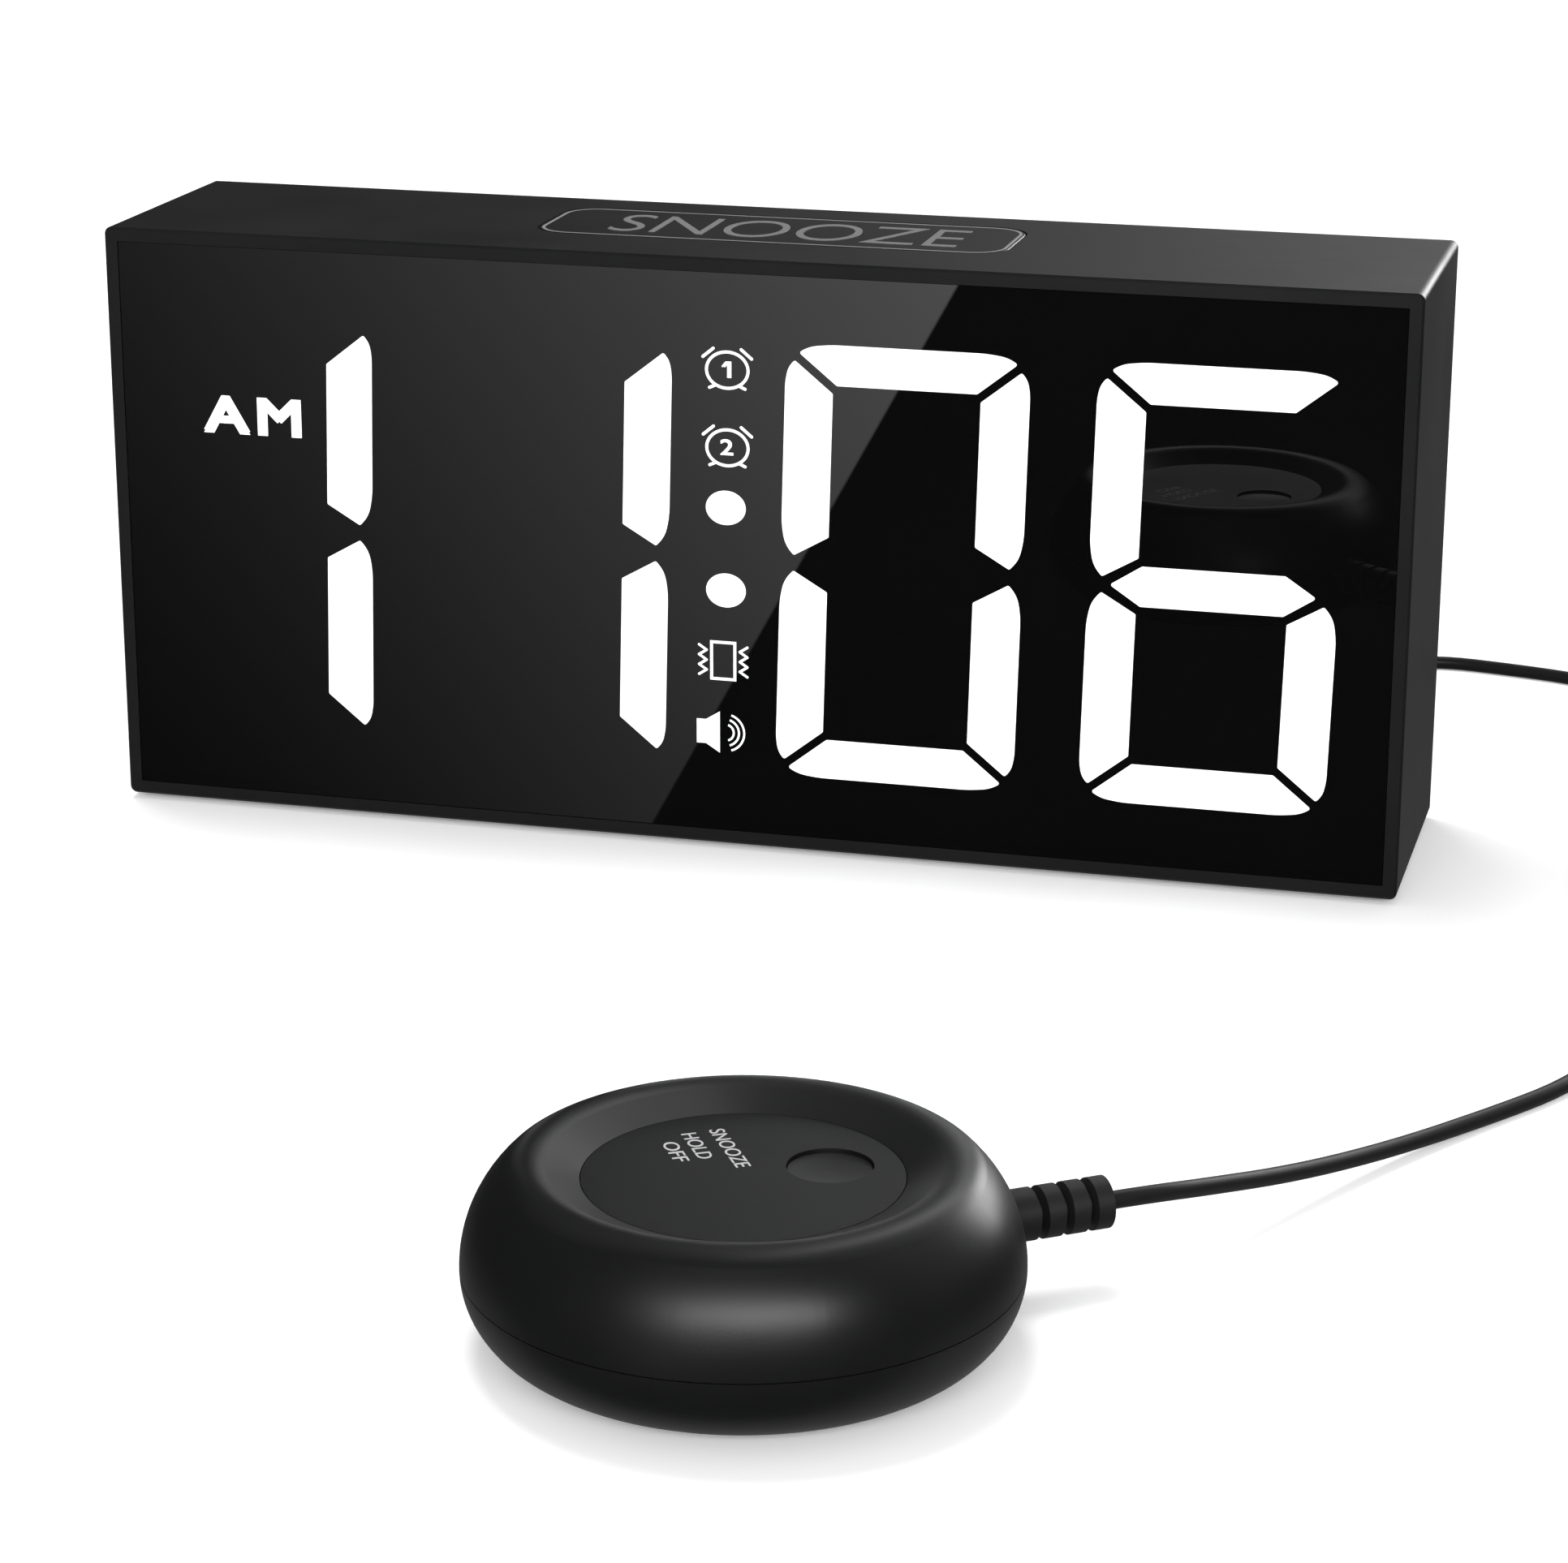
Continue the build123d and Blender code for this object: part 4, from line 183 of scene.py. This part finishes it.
# What the gloss sees round the object: a dark room, pale low down behind, lit
# behind towards the right, and in front below the table a soft card with a
# slanting edge, which the panel mirrors
room_level, low_level, overhead_level, high_level = 0.02, 0.22, 0.18, 1.8
card_level, card_base, card_rightwards, card_upwards = 22.2, 0.561, 0.780, 0.585
edge_slope, edge_shift, edge_softness = 0.54392, 0.11054, 0.0008
world = bpy.data.worlds.new("studio")
bpy.context.scene.world = world
world.use_nodes = True
tree = world.node_tree
way = tree.nodes.new("ShaderNodeTexCoord")
split = tree.nodes.new("ShaderNodeSeparateXYZ")
tree.links.new(way.outputs["Generated"], split.inputs[0])
x, y, z = (split.outputs[axis] for axis in "XYZ")
behind = ramp_node(tree, y, -0.1, 0.1, 0, 1)
low_glow = ramp_node(tree, z, -0.15, -0.5, 0, low_level)
overhead = ramp_node(tree, z, 0.45, 0.8, 0, overhead_level)
across = math_node(tree, "DIVIDE", x, math_node(tree, "MAXIMUM", y, 0.001))
to_the_right = ramp_node(tree, across, -0.34, 0.10, 0, 1)
to_the_right = math_node(tree, "MULTIPLY", math_node(tree, "MULTIPLY", to_the_right, to_the_right),
                         ramp_node(tree, across, 0.15, 0.45, 1, 0.1))
high_glow = math_node(tree, "MULTIPLY", ramp_node(tree, z, -0.02, 0.30, 0, high_level), to_the_right)
back_light = math_node(tree, "MULTIPLY", behind, math_node(
    tree, "ADD", math_node(tree, "ADD", low_glow, overhead), high_glow))
toward = math_node(tree, "MAXIMUM", math_node(tree, "MULTIPLY", y, -1.0), 0.001)
u, w = (math_node(tree, "DIVIDE", v, toward) for v in (x, z))
brightness = math_node(tree, "MAXIMUM", 0.0, math_node(tree, "ADD", card_base, math_node(
    tree, "ADD", math_node(tree, "MULTIPLY", u, card_rightwards), math_node(tree, "MULTIPLY", w, card_upwards))))
card = math_node(tree, "MULTIPLY", math_node(tree, "MULTIPLY", brightness, brightness), card_level)
left_of_edge = math_node(tree, "SUBTRACT", math_node(tree, "MULTIPLY", w, edge_slope), math_node(
    tree, "ADD", u, edge_shift))
for value, start, end in ((left_of_edge, 0.0, edge_softness), (w, -0.46, -0.37), (w, -0.12, -0.18), (y, 0.0, -0.2)):
    card = math_node(tree, "MULTIPLY", card, ramp_node(tree, value, start, end, 0, 1))
room = math_node(tree, "ADD", math_node(tree, "ADD", back_light, card), room_level)
mirrored = tree.nodes.new("ShaderNodeBackground")
tree.links.new(room, mirrored.inputs["Color"])
around = tree.nodes["Background"]
around.inputs["Color"].default_value = (0.62, 0.62, 0.62, 1)
white = tree.nodes.new("ShaderNodeBackground")
white.inputs["Color"].default_value = (1, 1, 1, 1)
seen = tree.nodes.new("ShaderNodeLightPath")
plain_or_mirrored, all_rays = (tree.nodes.new("ShaderNodeMixShader") for _ in range(2))
clear_or_seen = math_node(tree, "MAXIMUM", seen.outputs["Is Camera Ray"], seen.outputs["Is Transmission Ray"])
for mix, *inputs in ((plain_or_mirrored, seen.outputs["Is Glossy Ray"], around.outputs[0], mirrored.outputs[0]),
                     (all_rays, clear_or_seen, plain_or_mirrored.outputs[0], white.outputs[0])):
    for socket, output in zip(mix.inputs, inputs):
        tree.links.new(output, socket)
tree.links.new(all_rays.outputs[0], tree.nodes["World Output"].inputs["Surface"])


def lamp(name, place, aim, width, height, power):
    data = bpy.data.lights.new(name, "AREA")
    data.shape, data.size, data.size_y, data.energy = "RECTANGLE", width, height, power
    light = bpy.data.objects.new(name, data)
    light.location = place
    light.rotation_euler = (Vector(aim) - Vector(place)).to_track_quat("-Z", "Y").to_euler()
    bpy.context.scene.collection.objects.link(light)
    return light


lamp("lamp_above", (-0.25, 0.35, 1.5), (0.02, 0, 0), 0.5, 0.5, 11).visible_glossy = False
lamp("lamp_in_front", (0.38, -1.2, 0.65), (0.05, -0.1, 0.02), 1.5, 0.32, 13)
lamp("lamp_behind", (0.75, 1.55, 0.42), (0.1, 0.1, 0.08), 0.9, 0.55, 10).visible_diffuse = False


# The case.
# A sleeve of dark grey ABS with a fine spark-eroded grain, a little uneven in its
# sheen, on four rubber feet, closed behind by a screwed cover.
def moulded(name, colour, roughness, grain=0.35, grain_size=0.35, specular=0.5, patchiness=0.12, metal=0.0):
    """Opaque plastic, rubber or metal: fine grain, and slow changes of tone and gloss."""
    material, tree, shader = new_material(name)
    place = tree.nodes.new("ShaderNodeTexCoord")
    cloud = tree.nodes.new("ShaderNodeTexNoise")
    cloud.inputs["Scale"].default_value, cloud.inputs["Detail"].default_value = 38, 4
    tone = tree.nodes.new("ShaderNodeMix")
    tone.data_type = "RGBA"
    colours = [socket for socket in tone.inputs if socket.type == "RGBA"]
    colours[0].default_value = (*[c * (1 - patchiness) for c in colour], 1)
    colours[1].default_value = (*[min(1, c * (1 + patchiness)) for c in colour], 1)
    pits = tree.nodes.new("ShaderNodeTexNoise")
    pits.inputs["Scale"].default_value, pits.inputs["Detail"].default_value = 1000 / grain_size, 2
    bump = tree.nodes.new("ShaderNodeBump")
    bump.inputs["Strength"].default_value, bump.inputs["Distance"].default_value = grain, 0.02 * mm
    for texture in (cloud, pits):
        tree.links.new(place.outputs["Object"], texture.inputs["Vector"])
    tree.links.new(cloud.outputs["Fac"], tone.inputs["Factor"])
    toned = next(socket for socket in tone.outputs if socket.type == "RGBA")
    tree.links.new(toned, shader.inputs["Base Color"])
    tree.links.new(ramp_node(tree, cloud.outputs["Fac"], 0.3, 0.7, roughness - 0.04, roughness + 0.04),
                   shader.inputs["Roughness"])
    tree.links.new(pits.outputs["Fac"], bump.inputs["Height"])
    tree.links.new(bump.outputs[0], shader.inputs["Normal"])
    shader.inputs["Specular IOR Level"].default_value = specular
    shader.inputs["Metallic"].default_value = metal
    return material


def paint(material, *names):
    """Gives CAD nodes this material in place of the one that they were packed with."""
    for name in names:
        mesh = nodes[name].data
        mesh.materials.clear()
        mesh.materials.append(material)


case_plastic = moulded("case_plastic", (0.0070, 0.0072, 0.0076), 0.40)
paint(case_plastic, "housing_shell", "rear_cover", "battery_door", "battery_tray", "snooze_bracket")
soft_rubber = moulded("soft_rubber", (0.010, 0.010, 0.010), 0.7, grain=0.6, grain_size=0.6)
paint(soft_rubber, "rubber_feet")
screw_steel = moulded("screw_steel", (0.35, 0.35, 0.36), 0.34, grain=0.25, metal=1.0)
paint(screw_steel, "case_screws", "inner_screws")


# The display.
# A smoked acrylic panel, polished in front, over a white light box. The lit
# segments and signs are milky light guides set in it, evenly bright all over.
panel_gloss = moulded("panel_gloss", (0.0022, 0.0022, 0.0024), 0.06, grain=0.0)
tree = panel_gloss.node_tree
tree.links.remove(tree.nodes["Principled BSDF"].inputs["Roughness"].links[0])
tree.nodes["Principled BSDF"].inputs["Roughness"].default_value = 0.004
paint(panel_gloss, "display_panel")
lit = moulded("lit_guide", (0.55, 0.56, 0.57), 0.3, grain=0.05, patchiness=0.03)
shader = lit.node_tree.nodes["Principled BSDF"]
shader.inputs["Emission Color"].default_value = (1, 1, 1, 1)
shader.inputs["Emission Strength"].default_value = 0.8
paint(lit, "hour_tens_segments", "hour_units_segments", "minute_tens_segments", "minute_units_segments",
      "colon_dots", "alarm_signs", "alert_signs")
light_box = moulded("light_box", (0.75, 0.75, 0.73), 0.5)
paint(light_box, "reflector_block")
led_yellow = moulded("led_yellow", (0.75, 0.62, 0.16), 0.25, grain=0.1)
paint(led_yellow, "leds")


def lettering(name, words, middle, width, height, right, up, weight, material, slot, body="clock_and_pad"):
    """Raised letters 0.1 mm thick, drawn with the plain built-in typeface and fitted to a box."""
    outline = bpy.data.curves.new(name + "_outline", "FONT")
    outline.body, outline.offset, outline.extrude, outline.resolution_u = words, min(weight, 0), 0.5, 8
    drawn = bpy.data.objects.new(name + "_outline", outline)
    bpy.context.scene.collection.objects.link(drawn)
    mesh = bpy.data.meshes.new_from_object(drawn.evaluated_get(bpy.context.evaluated_depsgraph_get()))
    bpy.data.objects.remove(drawn)
    bpy.data.curves.remove(outline)
    mesh.name = name
    shape = bmesh.new()
    shape.from_mesh(mesh)
    bmesh.ops.remove_doubles(shape, verts=shape.verts, dist=1e-5)
    if weight > 0:
        # Bolder: the same outline again towards each corner, which keeps sharp corners whole
        plain = shape.verts[:] + shape.edges[:] + shape.faces[:]
        for step in ((-1, -1, 0), (-1, 1, 0), (1, -1, 0), (1, 1, 0)):
            again = bmesh.ops.duplicate(shape, geom=plain)["geom"]
            bmesh.ops.translate(shape, vec=Vector(step) * weight / 2,
                                verts=[part for part in again if isinstance(part, bmesh.types.BMVert)])
    spans = [[f(v.co[axis] for v in shape.verts) for f in (min, max)] for axis in (0, 1)]
    across, along = (high - low for low, high in spans)
    wide, tall = width / across, height / along
    right, up = Vector(right), Vector(up)
    out = right.cross(up)
    for vert in shape.verts:
        x, y, z = vert.co
        vert.co = (Vector(middle) + right * (x - sum(spans[0]) / 2) * wide
                   + up * (y - sum(spans[1]) / 2) * tall + out * z * 0.1) * mm
    bmesh.ops.recalc_face_normals(shape, faces=shape.faces)
    mesh.clear_geometry()
    shape.to_mesh(mesh)
    shape.free()
    mesh.materials.clear()
    mesh.materials.append(material)
    letters = bpy.data.objects.new(name, mesh)
    bpy.context.scene.collection.objects.link(letters)
    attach(letters, body)


facing_front = ((1, 0, 0), (0, 0, 1))
panel_face = 85.64
for name, words, x, z, width, height, weight in (
        ("day_half_letter_a", "A", -89.35, 69.35, 8.3, 6.5, 0.06),
        ("day_half_letter_m", "M", -79.9, 69.35, 7.8, 6.5, 0.06),
        ("alarm_1_number", "1", -1.65, 82.0, 0.7, 2.7, 0.0),
        ("alarm_1_flag", "/", -2.3, 82.87, 1.3, 0.95, 0.12),
        ("alarm_2_number", "2", -2.1, 69.1, 2.2, 2.65, 0.03)):
    lettering(name, words, (x, panel_face, z), width, height, *facing_front, weight, lit, "lit_white")


# The snooze button.
# A long keycap in the case's top, with its outline and its word printed in grey.
key_plastic = moulded("key_plastic", (0.0072, 0.0074, 0.0078), 0.38)
paint(key_plastic, "snooze_button")
line_print = moulded("line_print", (0.24, 0.24, 0.245), 0.5, grain=0.1)
paint(line_print, "snooze_line")
print_grey = moulded("print_grey", (0.17, 0.17, 0.175), 0.5, grain=0.1)
lettering("snooze_letters", "SNOOZE", (1.4, 112.3, 100.22), 59.6, 15.1, (1, 0, 0), (0, 1, 0), -0.010,
          print_grey, "line_grey", body="snooze")


# The controls behind.
# Five keys, two slide switches and a notched wheel come through the rear cover,
# and each has its use printed beside it.
paint(key_plastic, "time_button", "alarm_1_button", "alarm_2_button", "minus_button", "plus_button",
      "mode_slider", "dimmer_slider", "volume_wheel")
label_grey = moulded("label_grey", (0.45, 0.45, 0.46), 0.55, grain=0.1)
facing_back = ((-1, 0, 0), (0, 0, 1))
cover_face = 132.86
for name, words, x, z, width, height in (
        ("time_label", "TIME", 86.0, 84.4, 6.4, 2.0), ("alarm_1_label", "ALARM 1", 69.0, 84.4, 11.2, 2.0),
        ("alarm_2_label", "ALARM 2", 52.0, 84.4, 11.2, 2.0), ("minus_label", "-", 35.0, 84.4, 2.2, 0.4),
        ("plus_label", "+", 18.0, 84.4, 2.2, 2.2), ("mode_label", "MODE", 80.0, 65.6, 7.2, 2.0),
        ("dimmer_label", "DIMMER", 50.0, 65.6, 10.0, 2.0), ("volume_label", "VOL", 16.0, 65.2, 5.0, 2.0),
        ("shaker_label", "SHAKER", 82.0, 28.8, 9.6, 2.0), ("power_label", "5V", 62.0, 28.8, 3.4, 2.0)):
    lettering(name, words, (x, cover_face, z), width, height, *facing_back, 0.0, label_grey, "line_grey")


# The works.
# Boards, switches, sockets, the loudspeaker and the battery bay, as far as the
# openings and the open door show them.
board_green = moulded("board_green", (0.015, 0.10, 0.045), 0.4)
paint(board_green, "main_board", "led_board", "shaker_board")
component = moulded("component", (0.014, 0.014, 0.015), 0.45)
paint(component, "board_parts", "tact_switches", "shaker_switch", "volume_control", "power_socket",
      "shaker_socket")
bright_steel = moulded("bright_steel", (0.55, 0.55, 0.56), 0.26, grain=0.2, metal=1.0)
paint(bright_steel, "battery_contacts", "slide_switch_bodies", "speaker_frame", "speaker_screws",
      "motor_clamp", "shaker_motor", "shaker_case_screws", "shaker_inner_screws")
magnet_grey = moulded("magnet_grey", (0.05, 0.05, 0.055), 0.6, grain=0.6)
paint(magnet_grey, "speaker_magnet")
cone_paper = moulded("cone_paper", (0.018, 0.017, 0.016), 0.9, grain=0.9, grain_size=1.2, specular=0.2)
paint(cone_paper, "speaker_cone")
cell_wrap = moulded("cell_wrap", (0.03, 0.05, 0.16), 0.3, grain=0.1)
paint(cell_wrap, "battery_cells")
weight_brass = moulded("weight_brass", (0.62, 0.42, 0.16), 0.3, grain=0.2, metal=1.0)
paint(weight_brass, "eccentric_weight")


# The pad.
# Two turned shells that meet at a fine seam, a disc and a dished button in the
# hollow on top, and a soft base underneath.
pad_plastic = moulded("pad_plastic", (0.0052, 0.0054, 0.0058), 0.36)
paint(pad_plastic, "shaker_top_shell", "shaker_bottom_shell", "shaker_button")
disc_plastic = moulded("disc_plastic", (0.0056, 0.0058, 0.0062), 0.42, specular=0.4)
paint(disc_plastic, "shaker_disc")
paint(soft_rubber, "shaker_base_pad")
disc_print = moulded("disc_print", (0.50, 0.50, 0.51), 0.5, grain=0.1)
disc_face, letter_pitch, letter_height = 22.31, 2.1, 2.0
along = Vector((0.524, -0.852, 0)).normalized()
letters_up = Vector((-along.y, along.x, 0))
for name, words, start in (("disc_line_1", "SNOOZE", (43.93, -85.81)),
                           ("disc_line_2", "HOLD", (40.92, -88.0)),
                           ("disc_line_3", "OFF", (39.37, -91.45))):
    length = letter_pitch * len(words)
    middle = Vector((*start, disc_face)) + along * length / 2
    lettering(name, words, middle, length, letter_height, along, letters_up, 0.0, disc_print, "line_grey")


# The cord's ends.
# A ribbed strain relief on the pad, the moulded plug in the clock's socket, and a
# strap round the part that is put away.
cord_jacket = moulded("cord_jacket", (0.010, 0.010, 0.0105), 0.42, grain=0.2, specular=0.3)
cord_curve.materials.append(cord_jacket)
paint(cord_jacket, "cord_plug")
relief_rubber = moulded("relief_rubber", (0.0085, 0.0085, 0.009), 0.5, grain=0.3)
paint(relief_rubber, "strain_relief")
tie_strap = moulded("tie_strap", (0.012, 0.012, 0.013), 0.85, grain=1.0, grain_size=0.8, specular=0.2)
paint(tie_strap, "cord_tie")

bpy.context.scene.view_settings.view_transform = "Standard"
